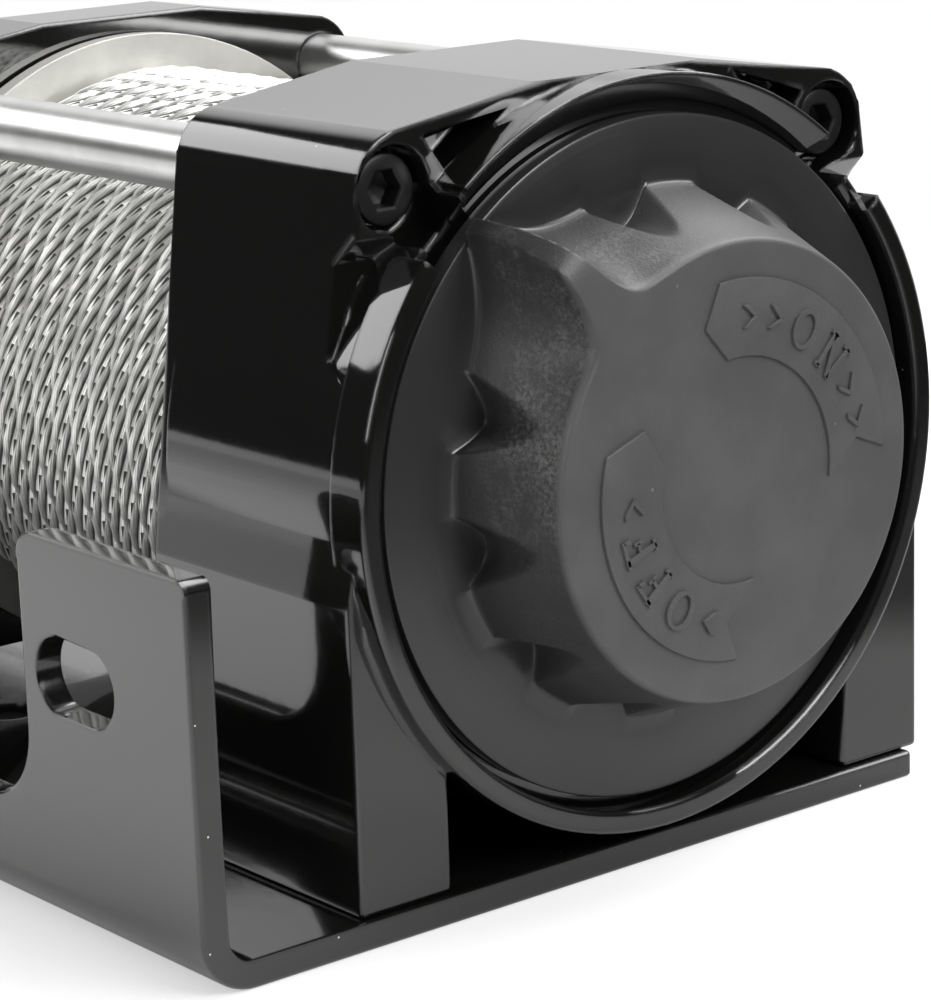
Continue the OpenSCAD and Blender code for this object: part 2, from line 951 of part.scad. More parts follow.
module tie_bar(s) {
    end_x = bay_x + socket_d;
    color("#c4c6c8")
        translate([0, s * tie_y, tie_z])
            difference() {
                bar(-end_x, 2 * end_x, tie_d / 2);
                for (from = [-end_x - over, end_x - thread_depth])
                    bar(from, thread_depth + over, m6_r + fit);
            }
}

module cap_screw(head_x, shank_l, side) {
    difference() {
        union() {
            bar(side > 0 ? head_x : head_x - m6_head_h, m6_head_h, m6_head_r);
            bar(side > 0 ? head_x - shank_l : head_x, shank_l, m6_r);
        }
        hex_bar(side > 0 ? head_x + m6_head_h / 2 : head_x - m6_head_h - over, m6_head_h / 2 + over, m6_hex);
    }
}

module tie_bar_screws() {
    shank_in_bay = thread_depth - socket_d - shank_clear;
    color("#1b1c1d")
        tie_bar_places() {
            cap_screw(head_seat_x, head_seat_x - bay_x + shank_in_bay, 1);
            cap_screw(-bay_x - support_d + m6_head_h, support_d - m6_head_h + shank_in_bay, -1);
        }
}

// Motor
module motor_gasket() {
    color("#2a2a2a")
        tube(can_x, gasket_t, can_r, can_r - can_t);
}

module motor_can() {
    color("#17181a")
        tube(cap_x, can_l, can_r, can_r - can_t);
}

magnet_inset = 14;
magnet_end_gap = 16;
magnet_x = can_x - magnet_inset;
magnet_l = can_l - magnet_inset - magnet_end_gap;

module at_poles() {
    for (k = [0 : poles - 1])
        rotate_about_axis((k + 1 / 2) * 360 / poles)
            children();
}

module field_magnets() {
    color("#4a4b4d")
        at_poles()
            slab(magnet_x - magnet_l, magnet_l)
                ring_sector(can_r - can_t, can_r - can_t - magnet_t,
                    -magnet_angle / 2, magnet_angle / 2);
}

armature_inset = 22;
armature_x = can_x - armature_inset;
commutator_past_can = 1;
commutator_x = cap_x - commutator_past_can;
winding_l = 9;
armature_end_x = commutator_x + commutator_l + winding_l;
armature_l = armature_x - armature_end_x;
winding_step = 3;
winding_r = armature_r - winding_step;
slot_w = 3;
slot_deep = 8;

module armature_core() {
    color("#6d6f72")
        slab(armature_end_x, armature_l)
            difference() {
                circle(r = armature_r);
                circle(r = motor_shaft_r);
                for (k = [0 : armature_slots - 1])
                    rotate(k * 360 / armature_slots)
                        translate([armature_r - slot_deep, -slot_w / 2])
                            square([slot_deep + over, slot_w]);
            }
}

module armature_winding() {
    color("#a5622e")
        for (x = [armature_x, armature_end_x - winding_l])
            tube(x, winding_l, winding_r, motor_shaft_r + slot_w);
}

module commutator() {
    color("#b87333")
        slab(commutator_x, commutator_l)
            difference() {
                circle(r = commutator_r);
                circle(r = motor_shaft_r);
                for (k = [0 : armature_slots - 1])
                    rotate((k + 1 / 2) * 360 / armature_slots)
                        translate([commutator_r - slot_w / 2, -gap])
                            square([slot_w, 2 * gap]);
            }
}

rear_bearing_x = motor_end_x + cap_wall;

module motor_shaft() {
    color("#bdbfc1")
        bar(rear_bearing_x, shaft_start_x - rear_bearing_x, motor_shaft_r);
}

module front_bearing() {
    color("#c5c7c9")
        tube(spigot_x, bearing_w, bearing_pocket_r, motor_shaft_r + fit);
}

module rear_bearing() {
    color("#c5c7c9")
        tube(rear_bearing_x, rear_bearing_w, rear_bearing_r, motor_shaft_r + fit);
}

// Brush gear: a holder plate, four carbon brushes and their springs
brush_w = 6.5;
brush_span_x = 7;
holder_t = 2.5;
holder_inset = 1.5;
holder_x = commutator_x + commutator_l - holder_t - holder_inset;
post_t = 2;
brush_x = holder_x - brush_span_x;
brush_share = 0.46;
brush_spring_share = 0.32;
brush_room = can_r - can_t - commutator_r - gap - post_t;
brush_l = brush_share * brush_room;
brush_spring_l = brush_spring_share * brush_room;

module brush_holder() {
    color("#3a2f28")
        difference() {
            union() {
                tube(holder_x, holder_t, can_r - can_t, commutator_r + over);
                at_brushes()
                    translate([0, commutator_r + brush_l + brush_spring_l + gap, -brush_w / 2])
                        cube([brush_span_x + over, post_t, brush_w]);
            }
            for (s = [-1, 1])
                side_bar(holder_x - over, holder_t + 2 * over, bolt_r + gap, s * bolt_orbit, 0);
        }
}

module at_brushes() {
    at_poles()
        on_axis(brush_x)
            children();
}

module carbon_brushes() {
    color("#2b2b2d")
        at_brushes()
            translate([0, commutator_r + gap, -brush_w / 2])
                cube([brush_span_x, brush_l, brush_w]);
}

module brush_springs() {
    color("#c8a25a")
        at_brushes()
            translate([brush_span_x / 2, commutator_r + gap + brush_l, 0])
                rotate([-90, 0, 0])
                    difference() {
                        cylinder(h = brush_spring_l, r = brush_w / 2 - gap);
                        translate([0, 0, -over])
                            cylinder(h = brush_spring_l + 2 * over, r = brush_w / 4);
                    }
}

cap_proud = 0.8;
cap_r = can_r + cap_proud;
cap_edge_r = 3;
boss_wall = 3.5;
block_sink = 11;
block_inset = 2;

module motor_end_cap() {
    inner_r = can_r - can_t;
    color("#17181a")
        difference() {
            union() {
                on_axis(motor_end_x)
                    rotate([0, 90, 0])
                        rotate_extrude()
                            difference() {
                                union() {
                                    translate([0, cap_edge_r])
                                        square([cap_r, cap_l - cap_edge_r]);
                                    square([cap_r - cap_edge_r, cap_l]);
                                    translate([cap_r - cap_edge_r, cap_edge_r])
                                        circle(r = cap_edge_r);
                                }
                                translate([rear_bearing_r + boss_wall, cap_wall])
                                    square([inner_r - rear_bearing_r - boss_wall, cap_l]);
                                translate([-over, cap_wall + rear_bearing_w])
                                    square([rear_bearing_r + boss_wall + 2 * over, cap_l]);
                                translate([-cap_r, -over])
                                    square([cap_r, cap_l + 2 * over]);
                            }
                translate([motor_end_x + block_inset, -terminal_block_w / 2, axis_z + can_r - block_sink])
                    cube([terminal_block_l, terminal_block_w, terminal_block_z - can_r + block_sink]);
            }
            bar(rear_bearing_x, rear_bearing_w + over, rear_bearing_r);
            for (s = [-1, 1])
                side_bar(motor_end_x - over, cap_l + 2 * over, bolt_r + fit, s * bolt_orbit, 0);
        }
}

bolt_head_t = 3.5;
bolt_head_flats = 8;

module motor_through_bolts() {
    bolt_end_x = spigot_x + bolt_orbit_in_casting;
    color("#9fa1a4")
        for (s = [-1, 1])
            translate([0, s * bolt_orbit, 0]) {
                bar(motor_end_x, bolt_end_x - motor_end_x, bolt_r);
                hex_bar(motor_end_x - bolt_head_t, bolt_head_t, bolt_head_flats);
            }
}

insulator_r = 6;
insulator_t = 3;
nut_flats = 10;
nut_t = 5;
// Thread relief over the nut, where the free end of the stud starts
stud_relief = 0.5;
stud_relief_l = 0.8;

module at_studs() {
    for (s = [-1, 1])
        translate([motor_end_x + block_inset + terminal_block_l / 2, s * stud_y, axis_z + terminal_block_z])
            children();
}

module terminal_insulators() {
    color("#8a1f1c")
        at_studs()
            difference() {
                cylinder(h = insulator_t, r = insulator_r);
                translate([0, 0, -over])
                    cylinder(h = insulator_t + 2 * over, r = stud_r + fit);
            }
}

module terminal_studs() {
    color("#b98b3e")
        at_studs()
            difference() {
                cylinder(h = stud_h, r = stud_r);
                translate([0, 0, insulator_t + nut_t])
                    difference() {
                        cylinder(h = stud_relief_l, r = stud_r + over);
                        translate([0, 0, -over])
                            cylinder(h = stud_relief_l + 2 * over, r = stud_r - stud_relief);
                    }
            }
}

module terminal_nuts() {
    color("#b98b3e")
        at_studs()
            translate([0, 0, insulator_t])
                difference() {
                    cylinder(h = nut_t, r = nut_flats / sqrt(3), $fn = 6);
                    translate([0, 0, -over])
                        cylinder(h = nut_t + 2 * over, r = stud_r + fit);
                }
}

// Clutch knob. Its grip is a loft from an outline at the disc to one at the face; a beak with a
// rounded crest stands out of it, and scoops for the fingers run round the foot of the wall.
knob_rows_share = [0, 0.14, 0.28, 0.42, 0.55, 0.68, 0.8, 0.9, 0.97, 1];
grip_h = knob_face_x - disc_face_x;
grip_sink = 1;

function turn_between(a) = a - 360 * round(a / 360);
function between(a, b, share) = a + (b - a) * share;
function beak_crest(share) = between(beak_face_r, beak_r, pow(1 - pow(share, beak_round), 1 / beak_round));
function bump(d, share) =
    let (
        side = d < 0 ? 0 : 1,
        fall_angle = between(foot_fall_angles[side], face_fall_angles[side], share)
    )
    exp(-max(0, abs(d) - crest_half_angle) / fall_angle);
function scoop_at(a, share, k) =
    let (d = turn_between(a - pocket_from_angle - k * pocket_step_angle) / pocket_half_angle)
    max(0, 1 - d * d - share / pocket_height_share);
function scoop(a, share) =
    pocket_deep * max([for (k = [1 : 360 / pocket_step_angle - 1]) scoop_at(a, share, k)]);
function grip_radius(a, share) =
    let (
        off = cos(a - grip_shift_angle),
        wall = between(grip_r + grip_shift * off, face_r + face_shift * off, share)
    )
    between(wall, beak_crest(share), bump(turn_between(a - beak_angle), share)) - scoop(a, share);
function row_x(i) = i == 0 ? disc_face_x - grip_sink : disc_face_x + knob_rows_share[i - 1] * grip_h;
knob_rows = len(knob_rows_share) + 1;
grip_points = [for (i = [0 : knob_rows - 1], j = [0 : grip_steps - 1])
    let (
        a = 360 * j / grip_steps,
        r = grip_radius(a, knob_rows_share[max(i - 1, 0)])
    )
    [row_x(i), r * cos(a), r * sin(a)]];

module grip() {
    on_axis(0)
        polyhedron(points = grip_points, faces = tube_faces(knob_rows, grip_steps));
}

// A raised banner with an arrow's point at one end and a swallow tail at the other
function arc(r, a_from, a_to, steps) =
    [for (i = [0 : steps]) let (a = a_from + (a_to - a_from) * i / steps) r * [cos(a), sin(a)]];
module banner(r_out, r_in, angles) {
    r_mid = (r_out + r_in) / 2;
    tail_out = angles[0];
    tail_in = angles[1];
    notch = angles[2];
    shoulder = angles[3];
    tip = angles[4];
    slab(knob_face_x - over, banner_t + over)
        polygon(concat(
            arc(r_out, tail_out, shoulder, banner_steps),
            [r_mid * [cos(tip), sin(tip)]],
            arc(r_in, shoulder, tail_in, banner_steps),
            [r_mid * [cos(notch), sin(notch)]]
        ));
}

banner_a_shares = [0.866, 0.532];
banner_b_shares = [0.79, 0.456];
banner_steps = 8;
// Outer tail, inner tail, notch, shoulders and point
banner_a_angles = [-0.1, -8.8, 5.6, 97, 105.8];
banner_b_angles = [-92.9, -80.8, -99.2, -196.5, -209];

module clutch_knob() {
    color("#3b3c3e")
        difference() {
            union() {
                bar(disc_x, disc_t, disc_r);
                grip();
                banner(face_r * banner_a_shares[0], face_r * banner_a_shares[1], banner_a_angles);
                banner(face_r * banner_b_shares[0], face_r * banner_b_shares[1], banner_b_angles);
                bar(stem_end_x, disc_x - stem_end_x + over, stem_r);
            }
            bar(stem_end_x - over, nose_l, shaft_nose_r + fit);
            tube(clip_x, clip_t, stem_r + over, clip_groove_r);
            cam_pocket();
        }
}

// The way of the clutch pin's shank through the knob, and the stepped ramp that lifts its head
module cam_track(x, r, turn) {
    end_turn = asin(r / (pin_orbit_r - r));
    slab(x, disc_x + cam_d - x)
        ring_sector(pin_orbit_r + r, pin_orbit_r - r, pin_angle - end_turn, pin_angle + turn + end_turn);
}

module cam_pocket() {
    cam_track(disc_x - over, clutch_pin_r + cam_clear, knob_turn_angle);
    for (i = [0 : cam_steps - 1])
        cam_track(pin_head_x - gap + pin_lift * i / cam_steps, pin_head_r + cam_clear,
            knob_turn_angle * (i + 1) / cam_steps);
}

module knob_clip() {
    color("#6b6d70")
        difference() {
            tube(clip_x, clip_t, clip_r, clip_groove_r);
            translate([clip_x - over, -stem_r / 2, axis_z - clip_r - over])
                cube([clip_t + 2 * over, stem_r, clip_r - stem_r / 2]);
        }
}

module clutch_pin() {
    color("#a3a5a8")
        rotate_about_axis(pin_angle) {
            side_bar(pin_x, pin_head_x + pin_head_t + pin_spring_l - pin_x, clutch_pin_r, pin_orbit_r, 0);
            side_bar(pin_head_x, pin_head_t, pin_head_r, pin_orbit_r, 0);
        }
}

module clutch_pin_spring() {
    color("#c9cbcd")
        rotate_about_axis(pin_angle)
            translate([0, pin_orbit_r, 0])
                tube(pin_head_x + pin_head_t, pin_spring_l, pin_head_r - fit, clutch_pin_r + fit);
}

mounting_plate();
foot_screws();
gear_housing();
gear_case_cover();
drum_bush_gear_side();
main_ring_gear();
clutch_ring_gear();
output_carrier();
stage_pins(carrier_3_x, stage_3_x + stage_3_w - carrier_3_x);  // planet_pins_3
carrier_2();
stage_pins(carrier_2_x, stage_2_x + stage_2_w - carrier_2_x);  // planet_pins_2
carrier_1();
stage_pins(carrier_1_x, stage_1_x + stage_1_w - carrier_1_x);  // planet_pins_1
planet(stage_3_x, stage_3_w, 0);  // planet_3a
planet(stage_3_x, stage_3_w, 1);  // planet_3b
planet(stage_3_x, stage_3_w, 2);  // planet_3c
planet(stage_2_x, stage_2_w, 0);  // planet_2a
planet(stage_2_x, stage_2_w, 1);  // planet_2b
planet(stage_2_x, stage_2_w, 2);  // planet_2c
planet(stage_1_x, stage_1_w, 0);  // planet_1a
planet(stage_1_x, stage_1_w, 1);  // planet_1b
planet(stage_1_x, stage_1_w, 2);  // planet_1c
input_sun();
drive_shaft();
shaft_coupler();
brake_hub();
brake_shoes();
brake_springs();
rope_drum();
rope_core();
rope_winding();
rope_clamp_screw();
motor_support();
drum_bush_motor_side();
tie_bar(-1);  // tie_bar_front
tie_bar(1);  // tie_bar_rear
tie_bar_screws();
motor_gasket();
motor_can();
field_magnets();
armature_core();
armature_winding();
commutator();
motor_shaft();
front_bearing();
rear_bearing();
brush_holder();
carbon_brushes();
brush_springs();
motor_end_cap();
motor_through_bolts();
terminal_insulators();
terminal_studs();
terminal_nuts();
clutch_knob();
knob_clip();
clutch_pin();
clutch_pin_spring();
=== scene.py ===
import json
import math
import random

import bmesh
import bpy
from bpy.props import FloatProperty, FloatVectorProperty, PointerProperty
from mathutils import Matrix, Vector


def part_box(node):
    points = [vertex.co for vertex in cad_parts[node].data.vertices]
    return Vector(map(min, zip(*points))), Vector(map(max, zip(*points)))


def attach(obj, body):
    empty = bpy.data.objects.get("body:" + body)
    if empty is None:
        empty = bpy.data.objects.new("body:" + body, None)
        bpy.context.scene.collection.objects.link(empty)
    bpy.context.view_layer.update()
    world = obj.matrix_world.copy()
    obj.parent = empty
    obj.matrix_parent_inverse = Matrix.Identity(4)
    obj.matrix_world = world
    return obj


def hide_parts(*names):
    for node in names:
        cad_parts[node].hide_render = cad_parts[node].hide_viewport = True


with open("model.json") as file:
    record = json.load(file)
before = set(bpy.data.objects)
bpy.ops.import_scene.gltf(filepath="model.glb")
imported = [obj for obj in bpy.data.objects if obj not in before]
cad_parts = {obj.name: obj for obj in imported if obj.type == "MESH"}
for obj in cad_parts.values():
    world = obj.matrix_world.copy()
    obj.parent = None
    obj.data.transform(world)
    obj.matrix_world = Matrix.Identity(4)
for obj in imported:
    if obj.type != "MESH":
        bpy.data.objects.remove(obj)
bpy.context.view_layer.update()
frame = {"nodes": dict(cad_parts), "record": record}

bl_info = {
    "name": "Recovery winch",
    "version": (1, 0, 0),
    "blender": (4, 5, 0),
    "location": "3D View > Sidebar > Winch",
    "description": "Detailed pieces, finishes and studio for a small recovery winch",
    "category": "Object",
}

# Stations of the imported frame, in metres like every length here
KNOB_LOW, KNOB_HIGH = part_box("clutch_knob")
ROPE_LOW, ROPE_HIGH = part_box("rope_winding")
AXIS_Z = (ROPE_LOW.z + ROPE_HIGH.z) / 2
AXIS = Vector((0, 0, AXIS_Z))
LIP_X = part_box("gear_housing")[1].x
DISC_X = LIP_X - 0.002
FACE_X = LIP_X + 0.015


# Shader expressions

class Term:
    """A socket's value; Python's operators on it add Math nodes."""

    def __init__(self, nodes, socket):
        self.nodes = nodes
        self.socket = socket

    def math(self, operation, *values):
        return self.nodes.add("ShaderNodeMath", {"operation": operation}, dict(enumerate(values)))

    def __add__(self, other):
        return self.math("ADD", self, other)

    __radd__ = __add__

    def __sub__(self, other):
        return self.math("SUBTRACT", self, other)

    def __rsub__(self, other):
        return self.math("SUBTRACT", other, self)

    def __mul__(self, other):
        return self.math("MULTIPLY", self, other)

    __rmul__ = __mul__

    def __truediv__(self, other):
        return self.math("DIVIDE", self, other)

    def __pow__(self, other):
        return self.math("POWER", self, other)

    def __gt__(self, other):
        return self.math("GREATER_THAN", self, other)

    def __lt__(self, other):
        return self.math("LESS_THAN", self, other)

    def sine(self):
        return self.math("SINE", self)

    def size(self):
        """The value without its sign."""
        return self.math("ABSOLUTE", self)

    def largest(self, other):
        return self.math("MAXIMUM", self, other)

    def between(self, low, high):
        """0 at low, 1 at high, smooth and clamped."""
        return self.nodes.add("ShaderNodeMapRange", {"interpolation_type": "SMOOTHSTEP"},
                              {"Value": self, "From Min": low, "From Max": high})


class Nodes:
    """A node tree that is built from values, links and expressions."""

    def __init__(self, tree):
        self.tree = tree
        tree.nodes.clear()

    def add(self, kind, settings=None, sockets=None, out=0):
        """Adds a node; out picks the output that stands for it."""
        node = self.tree.nodes.new(kind)
        for name, value in (settings or {}).items():
            setattr(node, name, value)
        for name, value in (sockets or {}).items():
            self.join(node.inputs[name], value)
        return Term(self, node.outputs[out]) if len(node.outputs) else None

    def join(self, socket, value):
        if isinstance(value, Term):
            self.tree.links.new(value.socket, socket)
        elif socket.type == "RGBA" and len(value) == 3:
            socket.default_value = (*value, 1)
        else:
            socket.default_value = value

    def place(self):
        """A point's place in the object's own coordinates."""
        return self.add("ShaderNodeTexCoord", out="Object")

    def ray(self, kind):
        """1 for a kind of ray, such as Camera or Glossy, and 0 for the rest."""
        return self.add("ShaderNodeLightPath", out="Is %s Ray" % kind)

    def split(self, vector):
        node = self.add("ShaderNodeSeparateXYZ", None, {0: vector}).socket.node
        return [Term(self, output) for output in node.outputs]

    def vector(self, x, y, z):
        return self.add("ShaderNodeCombineXYZ", None, {0: x, 1: y, 2: z})

    def stretch(self, vector, factors):
        return self.add("ShaderNodeVectorMath", {"operation": "MULTIPLY"}, {0: vector, 1: factors})

    def noise(self, where, scale, detail, rough):
        return self.add("ShaderNodeTexNoise", None,
                        {"Vector": where, "Scale": scale, "Detail": detail, "Roughness": rough})

    def blend(self, share, first, second):
        return self.add("ShaderNodeMix", {"data_type": "RGBA"}, {0: share, 6: first, 7: second},
                        out=2)

    def bump(self, height, depth, normal=None):
        sockets = {"Height": height, "Distance": depth, "Strength": 1.0}
        if normal is not None:
            sockets["Normal"] = normal
        return self.add("ShaderNodeBump", None, sockets)

    def specks(self, where, scale, rare, size):
        """Small dots of dust in a few cells of a scattered pattern."""
        sockets = {"Vector": where, "Scale": scale}
        cells = self.add("ShaderNodeTexVoronoi", None, sockets)
        chance = self.add("ShaderNodeTexVoronoi", None, sockets, out=1)
        return (cells < size) * (self.split(chance)[0] > rare)

    def soft_edges(self, radius):
        return self.add("ShaderNodeBevel", {"samples": 4}, {"Radius": radius})

    def mix(self, share, first, second):
        """One surface shader over another."""
        return self.add("ShaderNodeMixShader", None, {0: share, 1: first, 2: second})


class Finish:
    """One named finish: a Principled surface whose sockets take values or expressions."""

    made = {}
    named = {"colour": "Base Color", "rough": "Roughness", "metal": "Metallic", "ior": "IOR",
             "coat": "Coat Weight", "coat_rough": "Coat Roughness", "coat_ior": "Coat IOR",
             "normal": "Normal"}

    def __init__(self, name):
        material = bpy.data.materials.new(name)
        material.use_nodes = True
        self.nodes = Nodes(material.node_tree)
        self.where = self.nodes.place()
        Finish.made[name] = material

    def surface(self, **sockets):
        shader = self.nodes.add("ShaderNodeBsdfPrincipled", None,
                                {Finish.named[key]: value for key, value in sockets.items()})
        self.nodes.add("ShaderNodeOutputMaterial", None, {"Surface": shader})


def dimmed(colour, share):
    """A colour made darker or lighter by a factor."""
    return [min(value * share, 1) for value in colour]


def from_axis(y, z):
    """Distance from the drum's axis."""
    return (y ** 2.0 + (z - AXIS_Z) ** 2.0) ** 0.5


# Finishes; noise scales count features in a metre, bumps are metres deep

def powder_coat(name, colour, rough, peel, edge):
    """Glossy powder coat: orange peel, a few pale dust specks, thick rounded edges."""
    finish = Finish(name)
    nodes, where = finish.nodes, finish.where
    waves = nodes.noise(where, 420, 2.0, 0.45)
    slow = nodes.noise(where, 60, 2.0, 0.5)
    speck = nodes.specks(where, 300.0, 0.9, 0.045)
    finish.surface(
        colour=nodes.blend(speck, colour, (0.42, 0.43, 0.41)),
        rough=rough + slow * 0.05 + speck * 0.5,
        ior=1.5, coat=1.0, coat_rough=0.04, coat_ior=1.55,
        normal=nodes.bump(waves + slow * 2.5 + speck * 0.6, peel, nodes.soft_edges(edge)))


def knob_plastic(name, colour):
    """Charcoal moulded plastic: fine grain, a slow mottle, dust on the left walls; painted shade on
    those walls and on the disc.
    """
    finish = Finish(name)
    nodes, where = finish.nodes, finish.where
    x, y, z = nodes.split(where)
    grip = x.between(DISC_X + 0.0002, DISC_X + 0.0006)
    wall = grip * (1 - x.between(KNOB_HIGH.x - 0.0022, KNOB_HIGH.x - 0.0012))
    left = 1 - y.between(-0.014, 0.002)
    high = z.between(AXIS_Z - 0.012, AXIS_Z + 0.008)
    proud = x.between(LIP_X, LIP_X + 0.007)
    grain = nodes.noise(where, 2600, 3.0, 0.6)
    mottle = nodes.noise(where, 90, 4.0, 0.6)
    dust = nodes.noise(where, 1500, 4.0, 0.8).between(0.36, 0.70)
    swirl = nodes.noise(nodes.stretch(where, (1.6, 1, 1)), 75, 4.0, 0.65).between(0.32, 0.66)
    dusty = dust * swirl * wall * left * proud * (0.25 + high * 0.75)
    specks = nodes.specks(where, 260.0, 0.93, 0.07)
    turned = nodes.noise(nodes.vector(from_axis(y, z), 0.0, 0.0), 420, 2.0, 0.5)
    shade = nodes.blend(mottle.between(0.3, 0.75), dimmed(colour, 0.9), dimmed(colour, 1.12))
    # Painted shade: the grip's walls on the left are darkened to about a fifth of the colour, a
    # little less near the face
    shade = nodes.blend(left * wall * (1 - proud * 0.1), shade, dimmed(colour, 0.22))
    # Painted shade: the disc round the grip takes three tenths of the colour
    shade = nodes.blend(grip, dimmed(colour, 0.30), shade)
    finish.surface(
        colour=nodes.blend((dusty * 0.75).largest(specks * 0.9), shade, (0.12, 0.12, 0.115)),
        rough=0.27 + grip * 0.15 + mottle * 0.08,
        ior=1.5, coat=(1 - grip) * 0.5, coat_rough=0.22, coat_ior=1.5,
        normal=nodes.bump((grain + mottle * 0.3) * (0.12 + grip * 0.88) + turned * (1 - grip) * 1.4,
                          0.00006))


def wire_rope(name, colour):
    """Galvanised strands; their own UV map gives the wires, a painted crown highlight and painted
    shade in grooves.
    """
    finish = Finish(name)
    nodes, where = finish.nodes, finish.where
    around, along, _ = nodes.split(nodes.add("ShaderNodeUVMap", {"uv_map": "lay"}))
    wires = ((around * 11.0 + along * 2.0) * math.pi).sine().size() ** 0.6
    # Painted highlight on each strand's crown, painted shade in the valleys between strands
    crown = ((around * (2 * math.pi) + math.pi / 2).sine()).between(-0.15, 0.90)
    slow = nodes.noise(where, 160, 2.0, 0.5)
    fine = nodes.noise(where, 1500, 2.0, 0.5)
    tint = nodes.blend(slow.between(0.35, 0.7), dimmed(colour, 0.8), dimmed(colour, 1.12))
    # Painted shade in the grooves between the wires, at half the colour
    lit = nodes.blend(wires.between(0.1, 0.5), dimmed(colour, 0.5), tint)
    finish.surface(
        colour=nodes.blend(crown, (0.10, 0.10, 0.094), lit),
        metal=0.70, rough=0.27 + fine * 0.12,
        normal=nodes.bump(wires + fine * 0.15, 0.00006))


def plain_rope(name, colour):
    """Wire of the layers under the outer one: rougher, and darker than the rope's colour."""
    finish = Finish(name)
    nodes = finish.nodes
    rub = nodes.noise(finish.where, 500, 3.0, 0.6)
    finish.surface(
        colour=nodes.blend(rub, dimmed(colour, 0.25), dimmed(colour, 0.6)),
        metal=0.9, rough=0.45 + rub * 0.2,
        normal=nodes.bump(rub, 0.0002, nodes.soft_edges(0.0002)))


def drawn_metal(name, colour, rough, lines=900.0, middle=None):
    """Metal drawn along the drum's axis: fine lines, tarnish, painted shade on the underside below
    middle.
    """
    finish = Finish(name)
    nodes, where = finish.nodes, finish.where
    streaks = nodes.noise(nodes.stretch(where, (0.03, 1, 1)), lines, 3.0, 0.6)
    tarnish = nodes.noise(where, 70, 4.0, 0.6)
    shade = nodes.blend(tarnish.between(0.3, 0.75), dimmed(colour, 0.82), colour)
    if middle is not None:
        # Painted shade: below middle the underside is darkened to about two fifths of the colour
        painted_underside_shade = 1 - nodes.split(where)[2].between(middle - 0.0034, middle - 0.0018)
        shade = nodes.blend(painted_underside_shade, shade, dimmed(colour, 0.42))
    finish.surface(
        colour=shade, metal=1.0, rough=rough + streaks * 0.14 + tarnish * 0.06,
        normal=nodes.bump(streaks, 0.000012, nodes.soft_edges(0.0003)))


def turned_metal(name, colour, rough, edge=0.0003):
    """Faces turned on a lathe about the drum's axis."""
    finish = Finish(name)
    nodes, where = finish.nodes, finish.where
    x, y, z = nodes.split(where)
    marks = nodes.noise(nodes.vector(from_axis(y, z), 0.0, x * 0.2), 4500.0, 2.0, 0.6)
    tarnish = nodes.noise(where, 60, 4.0, 0.6)
    finish.surface(
        colour=nodes.blend(tarnish.between(0.3, 0.75), dimmed(colour, 0.8), colour),
        metal=1.0, rough=rough + marks * 0.15 + tarnish * 0.08,
        normal=nodes.bump(marks, 0.000006, nodes.soft_edges(edge)))


def cast_part(name, colour, rough, metal, grain, depth, edge=0.0003):
    """Moulded, sintered or cut parts without a direction in their surface."""
    finish = Finish(name)
    nodes, where = finish.nodes, finish.where
    fine = nodes.noise(where, grain, 3.0, 0.6)
    slow = nodes.noise(where, 120, 3.0, 0.6)
    finish.surface(
        colour=nodes.blend(slow.between(0.3, 0.72), dimmed(colour, 0.8), colour),
        metal=metal, rough=rough + fine * 0.12,
        normal=nodes.bump(fine, depth, nodes.soft_edges(edge)))


def layered(name, colour, other, pitch, rough, metal):
    """Thin layers stacked along the drum's axis, such as laminations or windings."""
    finish = Finish(name)
    nodes, where = finish.nodes, finish.where
    along = nodes.split(where)[0]
    sheets = (along * (math.pi / pitch)).sine().size() ** 0.5
    slow = nodes.noise(where, 200, 3.0, 0.6)
    finish.surface(
        colour=nodes.blend(sheets, other, colour), metal=metal, rough=rough + slow * 0.15,
        normal=nodes.bump(sheets + slow * 0.4, 0.00006))


